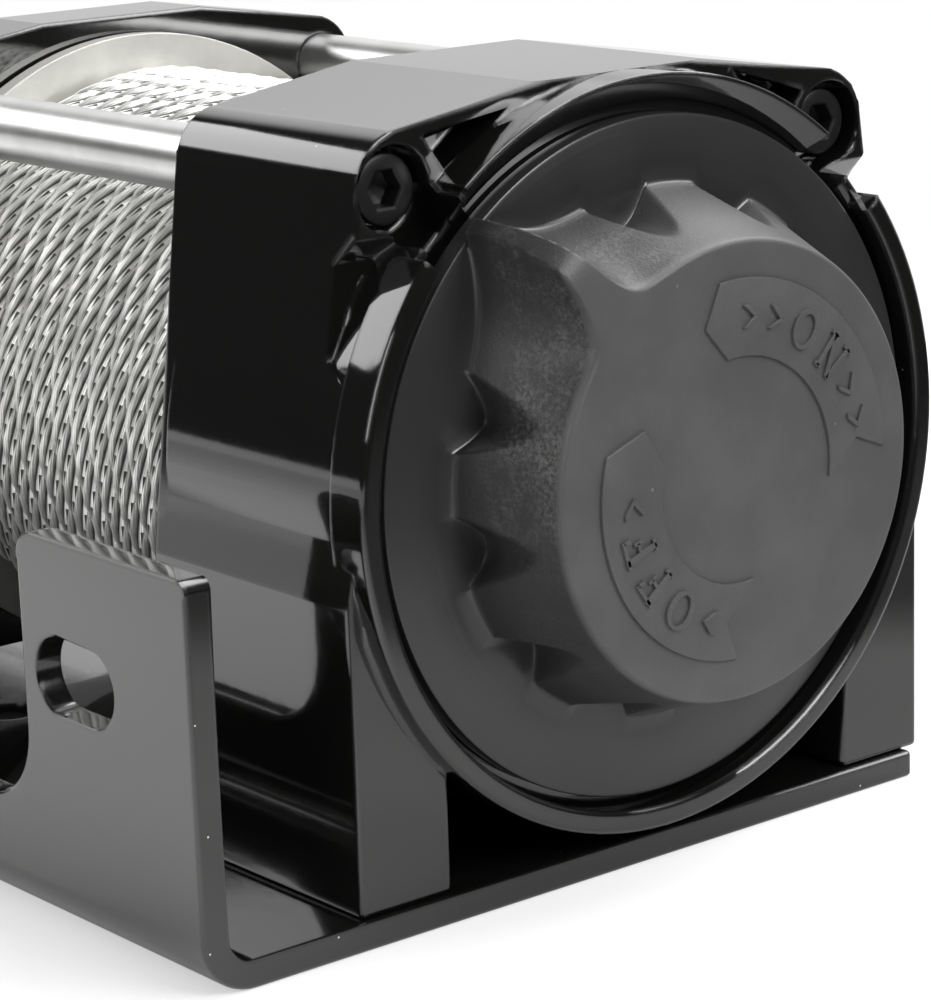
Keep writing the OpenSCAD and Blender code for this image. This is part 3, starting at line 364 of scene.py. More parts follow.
def make_finishes(colours):
    """Every finish, under the name of its material slot."""
    powder_coat("plate_coat", colours.coat, rough=0.09, peel=0.000010, edge=0.0009)
    powder_coat("casting_coat", colours.coat, rough=0.05, peel=0.000012, edge=0.0010)
    powder_coat("motor_coat", colours.coat, rough=0.12, peel=0.000014, edge=0.0010)
    knob_plastic("knob_plastic", colours.knob)
    wire_rope("wire_rope", colours.rope)
    plain_rope("rope_inner", colours.rope)
    bar_low, bar_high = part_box("tie_bar_front")
    drawn_metal("tie_steel", colours.bars, 0.24, middle=(bar_low.z + bar_high.z) / 2)
    drawn_metal("plain_screw", (0.50, 0.50, 0.50), 0.28, 700.0)
    drawn_metal("bright_pin", (0.66, 0.66, 0.67), 0.14)
    drawn_metal("spring_steel", (0.40, 0.41, 0.43), 0.26)
    drawn_metal("terminal_brass", (0.72, 0.50, 0.19), 0.22)
    turned_metal("drum_steel", colours.drum, 0.34)
    turned_metal("gear_steel", (0.34, 0.34, 0.35), 0.30, 0.00015)
    turned_metal("plain_steel", (0.42, 0.42, 0.43), 0.32)
    turned_metal("bronze", (0.60, 0.37, 0.17), 0.30)
    turned_metal("bearing_steel", (0.62, 0.62, 0.63), 0.16)
    cast_part("black_screw", (0.022, 0.022, 0.022), 0.30, 0.55, 2200.0, 0.00002, 0.0004)
    cast_part("brake_lining", (0.105, 0.070, 0.050), 0.78, 0.0, 700.0, 0.00010)
    cast_part("gasket_rubber", (0.018, 0.018, 0.018), 0.72, 0.0, 900.0, 0.00005)
    cast_part("magnet_ferrite", (0.050, 0.047, 0.046), 0.60, 0.0, 1200.0, 0.00005)
    cast_part("carbon", (0.030, 0.030, 0.032), 0.46, 0.3, 1600.0, 0.00003)
    cast_part("insulator_red", (0.30, 0.016, 0.012), 0.40, 0.0, 1100.0, 0.00003)
    layered("core_steel", (0.30, 0.30, 0.31), (0.08, 0.08, 0.08), 0.0006, 0.36, 0.9)
    layered("copper", (0.78, 0.32, 0.13), (0.22, 0.07, 0.03), 0.0009, 0.26, 1.0)
    layered("holder_board", (0.20, 0.115, 0.050), (0.12, 0.065, 0.03), 0.0003, 0.50, 0.0)


# Mesh helpers

# Points closer than this are one; faces over BROAD square metres are flat up to their rims
JOINED = 2e-6
BROAD, SMALL = 0.0003, 0.00005

# The narrowest rounding, and where the middle of a rim rounded in two steps lies, as a share
FINE_EDGE = 0.0002
CORNER_SHARE = 0.3

# Room that a rounding needs across its faces, beside it and along it, in its own widths
ROOM_ACROSS, ROOM_BESIDE, ROOM_ALONG = 2.3, 1.4, 2.2
SHORT = 4
STRAIGHT_ON = -0.8


def only(kind, items):
    """The vertices, edges or faces among what an operator made."""
    return [item for item in items if isinstance(item, kind)]


def sheet_of(node):
    """A CAD node's mesh with its loose triangles joined and its flat faces made whole."""
    shape = bmesh.new()
    shape.from_mesh(frame["nodes"][node].data)
    bmesh.ops.remove_doubles(shape, verts=shape.verts, dist=JOINED)
    bmesh.ops.dissolve_limit(shape, angle_limit=math.radians(0.6), verts=shape.verts,
                             edges=shape.edges, delimit=set())
    return shape


def is_sharp(edge, degrees):
    return len(edge.link_faces) == 2 and edge.calc_face_angle(0) > math.radians(degrees)


def to_line(point, edge):
    """Distance from a point to an edge."""
    start, along = edge.verts[0].co, edge.verts[1].co - edge.verts[0].co
    share = max(0.0, min(1.0, (point - start).dot(along) / max(along.length_squared, 1e-18)))
    return (start + along * share - point).length


def goes_on(edge, vertex, other):
    """Whether another edge at a vertex carries an edge straight on."""
    along = (edge.other_vert(vertex).co - vertex.co).normalized()
    return along.dot((other.other_vert(vertex).co - vertex.co).normalized()) < STRAIGHT_ON


def has_room(edge, width, sharp):
    """Whether both faces beside a sharp edge are wide enough to round it."""
    middle = (edge.verts[0].co + edge.verts[1].co) / 2
    ends = set(edge.verts)
    for face in edge.link_faces:
        for other in face.edges:
            if other is edge or not ends.isdisjoint(other.verts):
                continue
            if other in sharp and to_line(middle, other) < ROOM_ACROSS * width:
                return False
    for vertex in edge.verts:
        for other in vertex.link_edges:
            if other is edge:
                continue
            if other not in sharp and other.calc_length() < ROOM_BESIDE * width:
                return False
            if (other in sharp and other.calc_length() < ROOM_ALONG * width
                    and not goes_on(edge, vertex, other)):
                return False
    return True


def stands_alone(edge, width, sharp, picked):
    """Whether a short edge would be rounded although the edges that continue it aren't."""
    if edge.calc_length() > SHORT * width:
        return False
    return not any(other in picked and goes_on(edge, vertex, other)
                   for vertex in edge.verts for other in vertex.link_edges
                   if other in sharp and other is not edge)


def round_edges(shape, widths, steps, least_angle):
    """Rounds sharp edges, each by the widest of the widths that its faces have room for."""
    done = shape.faces.layers.int.new("rounded")
    for width in widths:
        sharp = {edge for edge in shape.edges
                 if is_sharp(edge, least_angle) and not any(face[done] for face in edge.link_faces)}
        roomy = {edge for edge in sharp if has_room(edge, width, sharp)}
        picked = [edge for edge in roomy if not stands_alone(edge, width, sharp, roomy)]
        if not picked:
            continue
        made = bmesh.ops.bevel(shape, geom=picked, offset=width, offset_type="OFFSET",
                               segments=steps, profile=0.5, affect="EDGES", clamp_overlap=False,
                               material=-1, miter_outer="SHARP", miter_inner="SHARP")["faces"]
        for face in made:
            face[done] = 1
        bmesh.ops.remove_doubles(shape, verts=shape.verts, dist=JOINED)
    return shape


def mark_sharp(shape, smooth):
    """Marks an edge sharp past an angle, which is small between two broad flat faces."""
    for edge in shape.edges:
        areas = sorted(face.calc_area() for face in edge.link_faces)
        broad = areas[-1] > BROAD and areas[0] > SMALL
        edge.smooth = not is_sharp(edge, 6 if broad else smooth)


def smooth_groups(vertex):
    """The faces round a vertex, in groups that no sharp edge parts."""
    left = set(vertex.link_faces)
    while left:
        group, near = [], [left.pop()]
        while near:
            face = near.pop()
            group.append(face)
            for edge in face.edges:
                if vertex in edge.verts and edge.smooth:
                    for other in edge.link_faces:
                        if other in left:
                            left.remove(other)
                            near.append(other)
        yield group


def flat_normals(shape):
    """Corner normals weighed by area, so that broad faces stay flat up to their rounded rims."""
    normals = {}
    for vertex in shape.verts:
        for group in smooth_groups(vertex):
            total = sum((face.normal * face.calc_area() for face in group), Vector())
            total = total.normalized() if total.length > 0 else group[0].normal
            for face in group:
                own = face.calc_area() > BROAD
                normals[face.index, vertex.index] = face.normal.copy() if own else total
    return [normals[face.index, loop.vert.index] for face in shape.faces for loop in face.loops]


def show(shape, name, finish, body, replaced=(), smooth=32, weighed=False):
    """Turns a bmesh into a finished piece that rides on its body."""
    mesh = bpy.data.meshes.new(name)
    if weighed:
        shape.normal_update()
        shape.verts.index_update()
        shape.faces.index_update()
        mark_sharp(shape, smooth)
        corners = flat_normals(shape)
    shape.to_mesh(mesh)
    shape.free()
    mesh.materials.clear()
    mesh.materials.append(Finish.made[finish])
    mesh.polygons.foreach_set("material_index", [0] * len(mesh.polygons))
    mesh.polygons.foreach_set("use_smooth", [True] * len(mesh.polygons))
    if weighed:
        mesh.normals_split_custom_set(corners)
    else:
        mesh.set_sharp_from_angle(angle=math.radians(smooth))
    piece = bpy.data.objects.new(name, mesh)
    bpy.context.scene.collection.objects.link(piece)
    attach(piece, body)
    if replaced:
        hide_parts(*replaced)


def ring(shape, count, place):
    """A closed ring of vertices; place gives each one's point from its turn."""
    made = bmesh.ops.create_circle(shape, segments=count, radius=1.0, cap_ends=False)["verts"]
    for index, vertex in enumerate(made):
        vertex.co = place(index / count)
    return made


def ring_edges(vertices):
    wanted = set(vertices)
    return [edge for edge in {e for v in vertices for e in v.link_edges}
            if edge.verts[0] in wanted and edge.verts[1] in wanted]


def next_ring(shape, vertices, place):
    """Pulls a new ring out of the last one and puts each vertex at its point."""
    order = {vertex: index for index, vertex in enumerate(vertices)}
    source = {}
    made = bmesh.ops.extrude_edge_only(shape, edges=ring_edges(vertices))["geom"]
    fresh = only(bmesh.types.BMVert, made)
    for vertex in fresh:
        for edge in vertex.link_edges:
            other = edge.other_vert(vertex)
            if other in order:
                source[vertex] = order[other]
    fresh.sort(key=lambda vertex: source[vertex])
    for index, vertex in enumerate(fresh):
        vertex.co = place(index / len(fresh))
    return fresh


def cap(shape, vertices):
    """Closes a ring with one face."""
    bmesh.ops.contextual_create(shape, geom=vertices + ring_edges(vertices))


def polar(x, radius, angle):
    """A point at a radius and an angle in degrees from +Y towards +Z about the drum's axis."""
    turn = math.radians(angle)
    return Vector((x, radius * math.cos(turn), AXIS_Z + radius * math.sin(turn)))


# Clutch knob

# Points of a ring, and the share of them that lie evenly; the rest gather at the beak
RING_POINTS = 600
EVEN_SHARE = 0.35

# Rings up the grip's wall, the shares of its height that they span, and those across its face
GRIP_RINGS = 46
WALL_SHARES = (0.035, 0.95)
FACE_SHARES = (0.97, 0.90, 0.7, 0.45, 0.2)
FACE_ROUNDING, ROUNDING_STEPS = 0.0006, 6

# Rings on the disc before the grip, the small step at its foot, and the beak's reach past the rim
FOOT_RINGS = (0.0030, 0.0007)
FOOT = 0.0002
RIM_MARGIN, RIM_PASSED = 0.0006, 0.0012

# The disc, its rounded rim, the stem, and the groove for the clutch pin in the disc's back
DISC_THICKNESS = 0.0033
RIM_BACK, RIM_FRONT = 0.0004, 0.0005
STEM_RADIUS, STEM_CHAMFER = 0.009, 0.0005
GROOVE_INNER, GROOVE_OUTER, GROOVE_DEPTH = 0.0246, 0.0331, 0.0104

# The grip leans towards this angle in degrees, by so much at the disc and at the face
LEAN_ANGLE = 60
LEAN_AT_DISC, LEAN_AT_FACE = 0.0013, 0.0009

# The beak's angle in degrees, its crest's radius at the disc and at the face, its half width in
# degrees, and the degrees over which each flank falls, at the disc and at the face
BEAK_ANGLE = 130.8
BEAK_AT_DISC, BEAK_AT_FACE = 0.0512, 0.0427
BEAK_HALF = 1.2
NEAR_FALL, FAR_FALL = (6.3, 3.1), (7.0, 2.1)

# The scoops' places and half width in degrees, depth, and reach as a share of the grip's height
SCOOP_FROM, SCOOP_STEP, SCOOP_HALF = 130.5, 30, 8.4
SCOOP_COUNT = 11
SCOOP_DEPTH, SCOOP_REACH = 0.005, 0.68

# Raised banners and their marks: how far they rise, how deep they are sunk, their edges' rounding
BANNER_RISE, MARK_RISE = 0.0008, 0.0006
BANNER_SUNK, MARK_SUNK = 0.0003, 0.0001
BANNER_EDGE, MARK_EDGE, OVAL_EDGE = 0.00012, 0.00006, 0.00002
MARK_HEIGHT = 0.0058


def apart(angle):
    return (angle + 180) % 360 - 180


def mixed(first, second, share):
    return first + (second - first) * share


def grip_radius(sizes, angle, share):
    """The grip's radius at an angle and a share of its height; scoops bite into the foot."""
    share = min(max(share, 0.0), 1.0)
    lean = math.cos(math.radians(angle - LEAN_ANGLE))
    wall = mixed(sizes.grip_radius + LEAN_AT_DISC * lean, sizes.face_radius + LEAN_AT_FACE * lean,
                 share)
    crest = mixed(BEAK_AT_FACE, BEAK_AT_DISC, math.sqrt(1 - share * share))
    turn = apart(angle - BEAK_ANGLE)
    fall = mixed(*(NEAR_FALL if turn < 0 else FAR_FALL), share)
    flank = (BEAK_AT_DISC - wall) * math.exp(-max(abs(turn) - BEAK_HALF, 0.0) / fall)
    soft = 0.0003
    radius = wall - soft * math.log(math.exp((wall - crest) / soft) + math.exp(-flank / soft))
    deepest = -1.0
    for place in range(1, SCOOP_COUNT + 1):
        across = apart(angle - SCOOP_FROM - SCOOP_STEP * place) / SCOOP_HALF
        deepest = max(deepest, 1 - across * across - share / SCOOP_REACH)
    soft = 0.035
    return radius - SCOOP_DEPTH * soft * math.log1p(math.exp(min(deepest / soft, 60)))


def knob_shape(sizes):
    """The whole knob as rings pulled one from the next: disc, grip wall, rounded face."""
    shape = bmesh.new()
    rim = sizes.disc_radius
    back = DISC_X - DISC_THICKNESS
    height = FACE_X - DISC_X
    end = KNOB_LOW.x

    def turned(t):
        """A point's angle; points close to the beak lie closer together."""
        side = 2 * t - 1
        return BEAK_ANGLE + 180 * (EVEN_SHARE * side + (1 - EVEN_SHARE) * side * abs(side))

    def pull(x, radius):
        """The next ring at x; radius gives each point's from its angle."""
        return next_ring(shape, last, lambda t: polar(x, radius(turned(t)), turned(t)))

    last = ring(shape, RING_POINTS, lambda t: polar(end, STEM_RADIUS - STEM_CHAMFER, turned(t)))
    cap(shape, last)
    corner = CORNER_SHARE * RIM_FRONT
    for x, radius in ((end + STEM_CHAMFER, STEM_RADIUS), (back, STEM_RADIUS),
                      (back, GROOVE_INNER), (back + GROOVE_DEPTH, GROOVE_INNER),
                      (back + GROOVE_DEPTH, GROOVE_OUTER), (back, GROOVE_OUTER),
                      (back, rim - RIM_BACK), (back + RIM_BACK, rim),
                      (DISC_X - RIM_FRONT, rim), (DISC_X - corner, rim - corner),
                      (DISC_X, rim - RIM_FRONT)):
        last = pull(x, lambda angle: radius)
    for out in FOOT_RINGS:
        last = pull(DISC_X, lambda angle: min(rim - RIM_MARGIN - out / 5,
                                              grip_radius(sizes, angle, 0.0) + out))
    last = pull(DISC_X + FOOT, lambda angle: min(grip_radius(sizes, angle, 0.0) + FOOT,
                                                 rim + RIM_PASSED))
    for step in range(1, GRIP_RINGS):
        share = mixed(*WALL_SHARES, step / (GRIP_RINGS - 1))
        last = pull(DISC_X + share * height, lambda angle: grip_radius(sizes, angle, share))
    for step in range(1, ROUNDING_STEPS + 1):
        part = math.radians(90 * step / ROUNDING_STEPS)
        x = FACE_X - FACE_ROUNDING + FACE_ROUNDING * math.sin(part)
        inset = FACE_ROUNDING * (math.cos(part) - 1)
        last = pull(x, lambda angle: grip_radius(sizes, angle, (x - DISC_X) / height) + inset)
    for inward in FACE_SHARES:
        last = pull(FACE_X, lambda angle: inward * (grip_radius(sizes, angle, 1.0) - FACE_ROUNDING))
    cap(shape, last)
    bmesh.ops.recalc_face_normals(shape, faces=shape.faces)
    return shape


def raised(shape, outline, low_x, height, edge):
    """A flat outline on the knob's face, raised and with its upper edges rounded."""
    vertices = [shape.verts.new(polar(low_x, radius, angle)) for radius, angle in outline]
    made = bmesh.ops.extrude_face_region(shape, geom=[shape.faces.new(vertices)])["geom"]
    bmesh.ops.translate(shape, vec=(height, 0, 0), verts=only(bmesh.types.BMVert, made))
    rim = list({edge for face in only(bmesh.types.BMFace, made) for edge in face.edges})
    bmesh.ops.bevel(shape, geom=rim, offset=edge, offset_type="OFFSET", segments=2, profile=0.5,
                    affect="EDGES", clamp_overlap=True, material=-1)


# Each letter's width and its strokes in a box one unit high, each stroke one quadrilateral
LETTERS = {
    "N": (0.80, [[(0.06, 0), (0.19, 0), (0.19, 1), (0.06, 1)],
                 [(0.61, 0), (0.74, 0), (0.74, 1), (0.61, 1)],
                 [(0.06, 1), (0.22, 1), (0.74, 0), (0.58, 0)],
                 [(0, 0), (0.27, 0), (0.27, 0.08), (0, 0.08)],
                 [(0, 0.92), (0.22, 0.92), (0.22, 1), (0, 1)],
                 [(0.53, 0.92), (0.80, 0.92), (0.80, 1), (0.53, 1)]]),
    "F": (0.66, [[(0.07, 0), (0.23, 0), (0.23, 1), (0.07, 1)],
                 [(0, 0.9), (0.64, 0.9), (0.64, 1), (0, 1)],
                 [(0.55, 0.74), (0.64, 0.74), (0.64, 0.95), (0.57, 0.95)],
                 [(0.2, 0.47), (0.48, 0.47), (0.48, 0.56), (0.2, 0.56)],
                 [(0.42, 0.38), (0.49, 0.38), (0.49, 0.65), (0.42, 0.65)],
                 [(0, 0), (0.33, 0), (0.33, 0.08), (0, 0.08)]]),
    "O": (0.84, []),
    ">": (0.50, [[(0.0, 0.78), (0.16, 0.78), (0.5, 0.5), (0.34, 0.5)],
                 [(0.34, 0.5), (0.5, 0.5), (0.16, 0.22), (0.0, 0.22)]]),
}
O_STEPS = 20


def oval_strokes():
    """The letter O as short strokes between two ovals."""
    for step in range(O_STEPS):
        turns = [math.radians(360 * (step + k) / O_STEPS) for k in (0, 1)]
        yield [(0.42 + wide * math.cos(a), 0.5 + tall * math.sin(a))
               for wide, tall, order in ((0.42, 0.5, turns), (0.26, 0.41, turns[::-1]))
               for a in order]


def word_on_arc(shape, word, radius, middle_angle, spacing, low_x):
    """Raised letters on an arc, read clockwise with their feet towards the axis."""
    widths = [LETTERS[letter][0] * MARK_HEIGHT for letter in word]
    start = -(sum(widths) + spacing * (len(word) - 1)) / 2
    middle = radius + MARK_HEIGHT / 2
    for letter, width in zip(word, widths):
        rounded = letter == "O"
        for stroke in oval_strokes() if rounded else LETTERS[letter][1]:
            spots = [(radius + v * MARK_HEIGHT,
                      middle_angle - math.degrees((start + u * MARK_HEIGHT) / middle))
                     for u, v in stroke]
            raised(shape, spots, low_x, MARK_RISE, OVAL_EDGE if rounded else MARK_EDGE)
        start += width + spacing


def banner_outline(outer, inner, tail_out, tail_in, notch, shoulder, tip):
    """A banner along an arc: a notched tail, two curved sides and an arrow's point."""
    steps = 24
    middle = (outer + inner) / 2
    points = [(outer, mixed(tail_out, shoulder, k / steps)) for k in range(steps + 1)]
    points.append((middle, tip))
    points += [(inner, mixed(shoulder, tail_in, k / steps)) for k in range(steps + 1)]
    points.append((middle, notch))
    return points


def knob_marks():
    """Two raised banners with an arrow's point and plain ON and OFF marks on them."""
    shape = bmesh.new()
    low = FACE_X - BANNER_SUNK
    top = low + BANNER_RISE - MARK_SUNK
    for outline in (banner_outline(outer=0.0285, inner=0.0175, tail_out=-0.1, tail_in=-8.8,
                                   notch=5.6, shoulder=97, tip=105.8),
                    banner_outline(outer=0.0260, inner=0.0150, tail_out=-92.9, tail_in=-80.8,
                                   notch=-99.2, shoulder=-196.5, tip=-209)):
        raised(shape, outline, low, BANNER_RISE, BANNER_EDGE)
    word_on_arc(shape, ">>ON>>", radius=0.0202, middle_angle=49.0, spacing=0.0022, low_x=top)
    word_on_arc(shape, ">OFF>", radius=0.0177, middle_angle=-144.0, spacing=0.0024, low_x=top)
    bmesh.ops.recalc_face_normals(shape, faces=shape.faces)
    return shape


# Wire rope

STRANDS = 6
STRAND_SIDES = 8
STRAND_SWELL = 1.06
LAYS_PER_TURN = 9.5
UNITS_PER_TURN = int(LAYS_PER_TURN * STRANDS)
UNIT_CUTS = 2
UNIT_TURN = 2 * math.pi / UNITS_PER_TURN

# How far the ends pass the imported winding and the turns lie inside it, how close the pieces' ends
# are joined, and how far the turns sway, sink and lift
ENDS_PAST, TURNS_INSIDE = 0.00005, 0.0001
UNITS_JOINED = 0.00003
SWAY, SINK, LIFT = 0.00008, 0.00008, 0.00005


def strand_unit(shape, first_x, unit_step, axis_radius, strand):
    """One short piece of the laid strands, with their wires' UV map."""
    wrap = shape.loops.layers.uv.new("lay")
    slope = math.atan2(2 * math.pi * 2 * strand * LAYS_PER_TURN, 2 * math.pi * axis_radius)
    side = Vector((1, 0, 0))
    for k in range(STRANDS):
        last = None
        for cut in range(UNIT_CUTS + 1):
            part = cut / UNIT_CUTS
            turn = UNIT_TURN * part
            lay = 2 * math.pi * (k + part) / STRANDS
            out = Vector((0, math.cos(turn), math.sin(turn)))
            ahead = Vector((0, -math.sin(turn), math.cos(turn)))
            away = side * math.cos(lay) + out * math.sin(lay)
            across = -side * math.sin(lay) + out * math.cos(lay)
            wide = (ahead * math.cos(slope) + across * math.sin(slope)).cross(away).normalized()
            centre = (AXIS + Vector((first_x + unit_step * part, 0, 0))
                      + out * axis_radius + away * (2 * strand))

            def spot(t):
                angle = 2 * math.pi * t
                spoke = away * math.cos(angle) + wide * math.sin(angle)
                return centre + spoke * strand * STRAND_SWELL

            made = ring(shape, STRAND_SIDES, spot)
            if last:
                both = ring_edges(last) + ring_edges(made)
                span = bmesh.ops.bridge_loops(shape, edges=both)["faces"]
                rows = {vertex: (i, (cut - 1) / UNIT_CUTS) for i, vertex in enumerate(last)}
                rows.update({vertex: (i, part) for i, vertex in enumerate(made)})
                for face in span:
                    indexes = [rows[loop.vert][0] for loop in face.loops]
                    seam = max(indexes) - min(indexes) > STRAND_SIDES / 2
                    for loop in face.loops:
                        index, along = rows[loop.vert]
                        if seam and index == 0:
                            index = STRAND_SIDES
                        loop[wrap].uv = (index / STRAND_SIDES, along)
            last = made


def wind_on(shape, units, unit_step):
    """Doubles the first piece along the winding until it has all its units."""
    done = 1
    while done < units:
        more = min(done, units - done)
        if more == done:
            source = shape.verts[:] + shape.edges[:] + shape.faces[:]
        else:
            faces = shape.faces[:]
            faces = faces[:len(faces) // done * more]
            source = (list({v for f in faces for v in f.verts})
                      + list({e for f in faces for e in f.edges}) + faces)
        copy = bmesh.ops.duplicate(shape, geom=source)["geom"]
        vertices = only(bmesh.types.BMVert, copy)
        bmesh.ops.rotate(shape, cent=AXIS, matrix=Matrix.Rotation(UNIT_TURN * done, 3, "X"),
                         verts=vertices)
        bmesh.ops.translate(shape, vec=(unit_step * done, 0, 0), verts=vertices)
        done += more
        shape.faces.ensure_lookup_table()


def unsettle(shape, first_x, pitch):
    """Slow small waves, so that the turns don't lie perfectly even."""
    chance = random.Random(7)
    phases = [chance.uniform(0, 2 * math.pi) for _ in range(4)]
    for vertex in shape.verts:
        offset = vertex.co - AXIS
        turn = math.atan2(offset.z, offset.y) + 2 * math.pi * (vertex.co.x - first_x) / pitch
        sway = math.sin(turn * 0.37 + phases[0]) + math.sin(turn * 1.13 + phases[1]) * 0.7
        lift = math.sin(turn * 0.61 + phases[2]) + math.sin(turn * 1.71 + phases[3]) * 0.6
        vertex.co.x += sway * SWAY
        vertex.co -= Vector((0, offset.y, offset.z)).normalized() * (SINK + LIFT * lift)


def rope_shape(sizes):
    """The outer layer of rope: a short piece of six strands, doubled until it fills the drum."""
    diameter, pitch = sizes.rope_diameter, sizes.rope_pitch
    first_x = ROPE_LOW.x + diameter / 2 - ENDS_PAST
    last_x = ROPE_HIGH.x - diameter / 2 + ENDS_PAST
    axis_radius = ROPE_HIGH.y - diameter / 2 - TURNS_INSIDE
    units = int((last_x - first_x) / pitch * UNITS_PER_TURN)
    unit_step = pitch / UNITS_PER_TURN
    shape = bmesh.new()
    strand_unit(shape, first_x, unit_step, axis_radius, diameter / 6)
    wind_on(shape, units, unit_step)
    bmesh.ops.remove_doubles(shape, verts=shape.verts, dist=UNITS_JOINED)
    unsettle(shape, first_x, pitch)
    loose = [edge for edge in shape.edges if edge.is_boundary]
    bmesh.ops.holes_fill(shape, edges=loose, sides=STRAND_SIDES)
    bmesh.ops.recalc_face_normals(shape, faces=shape.faces)
    return shape


# Fasteners

# The tie bars' screws: half their spacing across, and their height above the drum's axis
SCREW_Y, SCREW_Z = 0.0413, 0.0435

# A screw's points round; its rim, tip, socket mouth and socket floor as shares of head, shank and
# hexagon; and the lengths of tip, mouth and the cone under the socket
SCREW_POINTS = 48
RIM_SHARE, TIP_SHARE, MOUTH_SHARE, FLOOR_SHARE = 0.12, 0.86, 1.12, 0.3
TIP_LENGTH, MOUTH_DEPTH, CONE_DEPTH = 0.0005, 0.0003, 0.0007


def socket_screw(shape, centre, head_radius, head_height, hexagon, depth, shank_radius,
                 shank_length):
    """A socket head screw along +X: its head's face at centre, rounded rim, six-sided socket."""
    def spot(x, radius, t):
        turn = 2 * math.pi * t
        return centre + Vector((x, radius * math.cos(turn), radius * math.sin(turn)))

    def six(t, size):
        angle = (t * 360) % 60 - 30
        return size / 2 / math.cos(math.radians(angle))

    end = -head_height - shank_length
    rim = head_radius * RIM_SHARE
    corner = rim * CORNER_SHARE
    last = ring(shape, SCREW_POINTS, lambda t: spot(end, shank_radius * TIP_SHARE, t))
    cap(shape, last)
    for x, radius in ((end + TIP_LENGTH, shank_radius), (-head_height, shank_radius),
                      (-head_height, head_radius), (-rim, head_radius),
                      (-corner, head_radius - corner), (0, head_radius - rim)):
        last = next_ring(shape, last, lambda t: spot(x, radius, t))
    for x, scale in ((0, MOUTH_SHARE), (-MOUTH_DEPTH, 1.0), (-depth, 1.0),
                     (-depth - CONE_DEPTH, FLOOR_SHARE)):
        last = next_ring(shape, last, lambda t: spot(x, six(t, hexagon * scale), t))
    cap(shape, last)


def tie_screws():
    """Two screws at the gear side, and their copies turned to the motor side."""
    shape = bmesh.new()
    low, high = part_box("tie_bar_screws")
    for side in (-1, 1):
        socket_screw(shape, Vector((high.x, side * SCREW_Y, AXIS_Z + SCREW_Z)),
                     head_radius=0.005, head_height=0.006, hexagon=0.005, depth=0.0032,
                     shank_radius=0.003, shank_length=0.030)
    both = bmesh.ops.duplicate(shape, geom=shape.verts[:] + shape.edges[:] + shape.faces[:])["geom"]
    middle = (low.x + high.x) / 2
    bmesh.ops.rotate(shape, cent=(middle, 0, AXIS_Z), matrix=Matrix.Rotation(math.pi, 3, "Z"),
                     verts=only(bmesh.types.BMVert, both))
    bmesh.ops.recalc_face_normals(shape, faces=shape.faces)
    return shape


# What a user may change

def length(name, description, default, least, most):
    return FloatProperty(name=name, description=description, default=default, min=least, max=most,
                         precision=4, subtype="DISTANCE", unit="LENGTH")


def tint(name, description, default):
    return FloatVectorProperty(name=name, description=description, default=default, size=3,
                               min=0, max=1, subtype="COLOR")


class WinchSizes(bpy.types.PropertyGroup):
    """Sizes of the pieces that are made here."""
    disc_radius: length("Disc radius", "Radius of the knob's flange disc", 0.0498, 0.045, 0.0500)
    grip_radius: length("Grip radius", "Radius of the grip where it meets the disc",
                        0.0387, 0.036, 0.042)
    face_radius: length("Face radius", "Radius of the grip's flat face", 0.0329, 0.030, 0.035)
    rope_diameter: length("Rope diameter", "Diameter over the rope's six strands",
                          0.0050, 0.004, 0.0051)
    rope_pitch: length("Rope pitch", "Spacing of the rope's turns on the drum",
                       0.0052, 0.0050, 0.006)
    plate_edge: length("Plate edge", "Rounding of the coated plate's edges", 0.0007, 0.0002, 0.0015)
    casting_edge: length("Casting edge", "Rounding of the coated castings' edges",
                         0.0009, 0.0002, 0.002)


class WinchColours(bpy.types.PropertyGroup):
    """Colours of the finishes."""
    coat: tint("Coat", "Powder coat of the plate, castings and motor", (0.0045, 0.0045, 0.0042))
    knob: tint("Knob", "Moulded plastic of the clutch knob", (0.056, 0.056, 0.057))
    rope: tint("Rope", "Galvanised wire of the rope", (0.90, 0.90, 0.87))
    bars: tint("Bars", "Zinc-plated tie bars", (0.92, 0.92, 0.91))
    drum: tint("Drum", "Steel of the rope drum", (0.80, 0.79, 0.75))


# Operators

class WINCH_OT_finishes(bpy.types.Operator):
    """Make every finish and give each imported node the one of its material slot"""
    bl_idname = "winch.finishes"
    bl_label = "Finishes"

    def execute(self, context):
        make_finishes(context.scene.winch_colours)
        for part in frame["record"]["subparts"]:
            node, slot = part["node"], part["material_slot"]
            finish = "rope_inner" if node == "rope_core" else slot
            mesh = frame["nodes"][node].data
            mesh.materials.clear()
            mesh.materials.append(Finish.made[finish])
        return {"FINISHED"}


class WINCH_OT_plate(bpy.types.Operator):
    """Bent mounting plate with rounded, coated edges"""
    bl_idname = "winch.plate"
    bl_label = "Mounting plate"

    def execute(self, context):
        widths = (context.scene.winch_sizes.plate_edge, FINE_EDGE)
        shape = round_edges(sheet_of("mounting_plate"), widths, steps=3, least_angle=30)
        show(shape, "coated_plate", "plate_coat", "frame", ["mounting_plate"],
             weighed=True)
        return {"FINISHED"}


class WINCH_OT_castings(bpy.types.Operator):
    """Gear housing and motor side casting with rounded, coated edges"""
    bl_idname = "winch.castings"
    bl_label = "Castings"

    def execute(self, context):
        edge = context.scene.winch_sizes.casting_edge
        for node, name in (("gear_housing", "coated_housing"), ("motor_support", "coated_support")):
            widths = (edge, edge / 2, edge / 4)
            shape = round_edges(sheet_of(node), widths, steps=3, least_angle=24)
            show(shape, name, "casting_coat", "frame", [node], weighed=True)
        return {"FINISHED"}


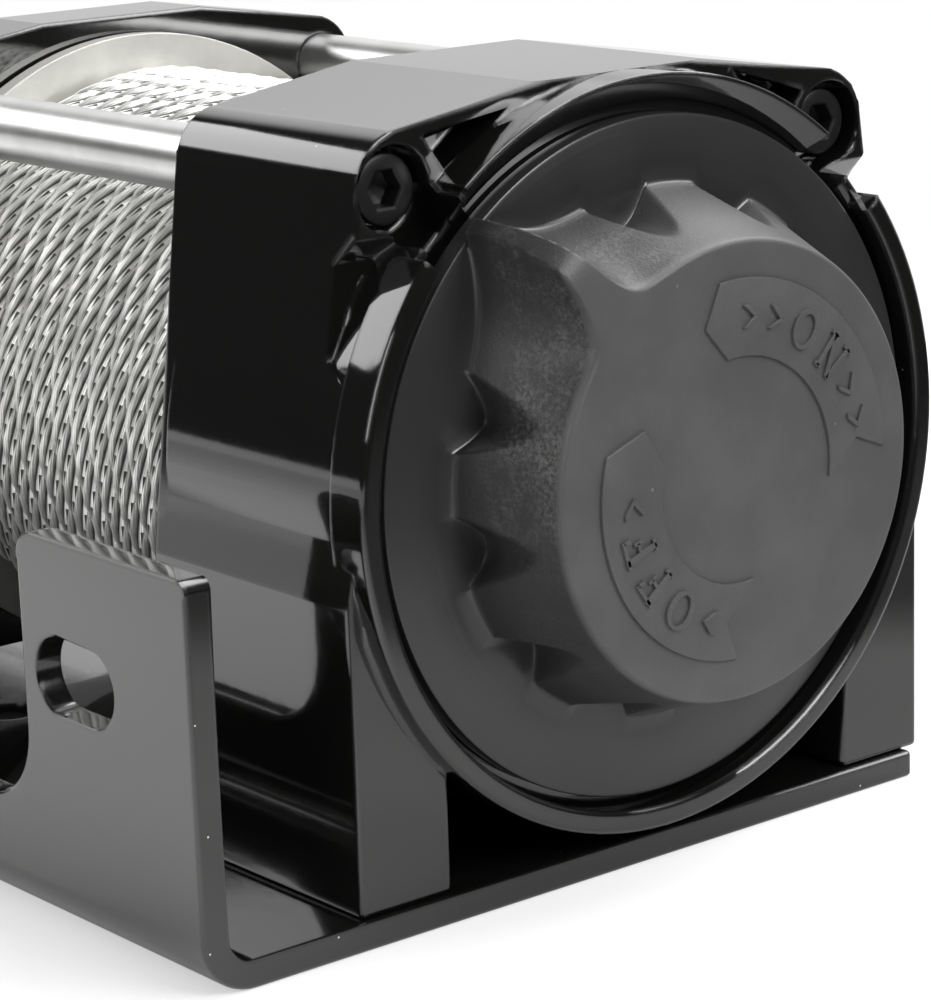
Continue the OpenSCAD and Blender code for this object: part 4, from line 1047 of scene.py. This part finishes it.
class WINCH_OT_knob(bpy.types.Operator):
    """Clutch knob with its disc, scooped grip, beak and raised banners"""
    bl_idname = "winch.knob"
    bl_label = "Clutch knob"

    def execute(self, context):
        show(knob_shape(context.scene.winch_sizes), "moulded_knob", "knob_plastic", "clutch_knob",
             ["clutch_knob"], smooth=38)
        show(knob_marks(), "knob_banners", "knob_plastic", "clutch_knob", smooth=40)
        return {"FINISHED"}


class WINCH_OT_rope(bpy.types.Operator):
    """Outer layer of six-strand wire rope on the drum"""
    bl_idname = "winch.rope"
    bl_label = "Wire rope"

    def execute(self, context):
        show(rope_shape(context.scene.winch_sizes), "laid_rope", "wire_rope", "drum",
             ["rope_winding"], smooth=80)
        return {"FINISHED"}


class WINCH_OT_screws(bpy.types.Operator):
    """Socket head screws of the tie bars"""
    bl_idname = "winch.screws"
    bl_label = "Tie bar screws"

    def execute(self, context):
        show(tie_screws(), "socket_screws", "black_screw", "frame",
             ["tie_bar_screws"])
        return {"FINISHED"}


# Stage

# The camera's angles in degrees, its distance and lens, and where it sees the lip's centre
CAMERA_AZIMUTH = 51.186
CAMERA_ELEVATION = 14.033
CAMERA_ROLL = -1.925
CAMERA_DISTANCE = 0.4949
FOCAL_PIXELS = 3452.0
SENSOR_MM = 36.0
PICTURE = (931.0, 1000.0)
LIP_CENTRE_PIXEL = (666.8, 461.7)

# Each lamp's name, place, target, width, height and watts
LAMPS = (
    ("overhead", (0.05, 0.50, 0.85), (0, 0, 0.05), 0.8, 0.8, 11.0),
    ("front", (0.95, 0.20, 0.75), (0.05, 0, 0.06), 0.6, 0.6, 11.0),
    ("left", (0.20, -1.00, 0.45), (0, 0, 0.06), 0.5, 0.5, 3.2),
    ("side", (-0.86, -0.42, 0.60), (0.06, -0.05, 0.10), 0.62, 0.42, 2.6),
)

FLOOR_CENTRE = (-0.05, 0.02)
FLOOR_REACH = (0.62, 0.50)
FADE_REACH = (0.56, 0.44)
WHITE = (1.0, 1.0, 1.0)
DARK = (0.02, 0.02, 0.02)

# Level directions: outward, which the housing's side wall mirrors to the camera, and behind the
# winch as the camera sees it
OUTWARD = (0.75, 0.66)
BEHIND = (-0.61, 0.79)

# How bright gloss sees the floor, and how much is taken off over each stretch outward
MIRRORED = 0.72
DIMMER = ((0.0, 0.09, 0.28), (0.09, 0.15, 0.05), (0.16, 0.21, 0.31), (0.30, 0.42, 0.08))


def reach_in(direction, x, y):
    """How far a point lies in a level direction."""
    return x * direction[0] + y * direction[1]


class WINCH_OT_stage(bpy.types.Operator):
    """White floor, soft studio lights and the camera"""
    bl_idname = "winch.stage"
    bl_label = "Stage"

    def camera(self, scene):
        """Stands where the photograph was taken, with the lip's centre at its pixel."""
        azimuth, elevation, roll = (math.radians(v) for v in
                                    (CAMERA_AZIMUTH, CAMERA_ELEVATION, CAMERA_ROLL))
        back = Vector((math.sin(azimuth) * math.cos(elevation),
                       -math.cos(azimuth) * math.cos(elevation), math.sin(elevation)))
        right = Vector((math.cos(azimuth), math.sin(azimuth), 0))
        up = back.cross(right)
        turned_right = right * math.cos(roll) + up * math.sin(roll)
        turned_up = up * math.cos(roll) - right * math.sin(roll)
        aside = (LIP_CENTRE_PIXEL[0] - PICTURE[0] / 2) / FOCAL_PIXELS * CAMERA_DISTANCE
        above = (PICTURE[1] / 2 - LIP_CENTRE_PIXEL[1]) / FOCAL_PIXELS * CAMERA_DISTANCE
        place = (Vector((LIP_X, 0, AXIS_Z)) + back * CAMERA_DISTANCE
                 - turned_right * aside - turned_up * above)
        data = bpy.data.cameras.new("camera")
        data.sensor_width = SENSOR_MM
        data.lens = SENSOR_MM * FOCAL_PIXELS / PICTURE[1]
        data.clip_start, data.clip_end = 0.01, 50
        camera = bpy.data.objects.new("camera", data)
        turn = Matrix((turned_right, turned_up, back)).transposed()
        camera.matrix_world = Matrix.Translation(place) @ turn.to_4x4()
        scene.collection.objects.link(camera)
        scene.camera = camera

    def lamp(self, scene, name, place, target, width, height, watts):
        data = bpy.data.lights.new(name, "AREA")
        data.shape = "RECTANGLE"
        data.size, data.size_y = width, height
        data.energy = watts
        lamp = bpy.data.objects.new(name, data)
        away = Vector(place) - Vector(target)
        turn = away.to_track_quat("Z", "Y").to_matrix().to_4x4()
        lamp.matrix_world = Matrix.Translation(place) @ turn
        scene.collection.objects.link(lamp)

    def floor_finish(self):
        """Pale paper that fades out at its rim; gloss sees it darker further outward."""
        material = bpy.data.materials.new("floor")
        material.use_nodes = True
        nodes = Nodes(material.node_tree)
        x, y, _ = nodes.split(nodes.place())
        reach = (((x - FLOOR_CENTRE[0]) / FADE_REACH[0]) ** 2.0
                 + ((y - FLOOR_CENTRE[1]) / FADE_REACH[1]) ** 2.0) ** 0.5
        outward = reach_in(OUTWARD, x, y)
        mirrored = MIRRORED
        for near, far, less in DIMMER:
            mirrored = mirrored - outward.between(near, far) * less
        paper = nodes.add("ShaderNodeBsdfPrincipled", None,
                          {"Base Color": (0.93, 0.93, 0.925), "Roughness": 0.9, "IOR": 1.2})
        clear = nodes.add("ShaderNodeBsdfTransparent")
        black = nodes.add("ShaderNodeEmission", None, {"Color": DARK, "Strength": 1.0})
        white = nodes.add("ShaderNodeEmission", None, {"Color": WHITE, "Strength": 1.0})
        lit = nodes.mix(nodes.ray("Camera") * 0.5, paper, white)
        faded = nodes.mix(reach.between(0.45, 1.0), lit, clear)
        surface = nodes.mix(nodes.ray("Glossy") * (1 - mirrored), faded, black)
        nodes.add("ShaderNodeOutputMaterial", None, {"Surface": surface})
        return material

    def floor(self, scene):
        shape = bmesh.new()
        made = bmesh.ops.create_circle(shape, cap_ends=True, segments=96, radius=1.0)["verts"]
        bmesh.ops.scale(shape, vec=(*FLOOR_REACH, 1), verts=made)
        bmesh.ops.translate(shape, vec=(*FLOOR_CENTRE, 0), verts=made)
        mesh = bpy.data.meshes.new("floor")
        shape.to_mesh(mesh)
        shape.free()
        mesh.materials.append(self.floor_finish())
        floor = bpy.data.objects.new("floor", mesh)
        scene.collection.objects.link(floor)

    def world(self, scene):
        """White to the camera; gloss sees a backdrop, the floor's horizon and dark around them."""
        world = bpy.data.worlds.new("studio")
        world.use_nodes = True
        scene.world = world
        nodes = Nodes(world.node_tree)
        x, y, z = nodes.split(nodes.add("ShaderNodeTexCoord", out="Generated"))
        camera = nodes.ray("Camera")
        glossy = nodes.ray("Glossy").largest(nodes.ray("Transmission"))
        backdrop = reach_in(BEHIND, x, y).between(0.52, 0.70) * (1 - z.between(0.80, 0.95))
        backdrop = backdrop * (0.75 + z.between(0.25, 0.36) * 0.35)
        below = (1 - reach_in(OUTWARD, x, y).between(0.10, 0.35)) * (1 - z.between(-0.090, -0.078))
        seen = glossy * (0.03 + backdrop.largest(below) * 0.87)
        fill = (1 - camera.largest(glossy)) * 0.55
        light = nodes.add("ShaderNodeBackground", None,
                          {"Color": WHITE, "Strength": camera + seen + fill})
        nodes.add("ShaderNodeOutputWorld", None, {"Surface": light})

    def execute(self, context):
        scene = context.scene
        scene.view_settings.view_transform = "Standard"
        self.floor(scene)
        self.world(scene)
        for lamp in LAMPS:
            self.lamp(scene, *lamp)
        self.camera(scene)
        return {"FINISHED"}


class WINCH_PT_panel(bpy.types.Panel):
    """Lists what can be made and changed"""
    bl_idname = "WINCH_PT_panel"
    bl_label = "Recovery winch"
    bl_space_type = "VIEW_3D"
    bl_region_type = "UI"
    bl_category = "Winch"

    def draw(self, context):
        for operator in OPERATORS:
            self.layout.operator(operator.bl_idname)
        for group in (context.scene.winch_sizes, context.scene.winch_colours):
            for name in group.__annotations__:
                self.layout.prop(group, name)


OPERATORS = (WINCH_OT_finishes, WINCH_OT_plate, WINCH_OT_castings, WINCH_OT_knob, WINCH_OT_rope,
             WINCH_OT_screws, WINCH_OT_stage)
CLASSES = (WinchSizes, WinchColours, *OPERATORS, WINCH_PT_panel)


def register():
    for item in CLASSES:
        bpy.utils.register_class(item)
    bpy.types.Scene.winch_sizes = PointerProperty(type=WinchSizes)
    bpy.types.Scene.winch_colours = PointerProperty(type=WinchColours)


def unregister():
    del bpy.types.Scene.winch_colours
    del bpy.types.Scene.winch_sizes
    for item in reversed(CLASSES):
        bpy.utils.unregister_class(item)


def main():
    register()
    bpy.ops.winch.finishes()
    bpy.ops.winch.plate()
    bpy.ops.winch.castings()
    bpy.ops.winch.knob()
    bpy.ops.winch.rope()
    bpy.ops.winch.screws()
    bpy.ops.winch.stage()


if __name__ == "__main__":
    main()
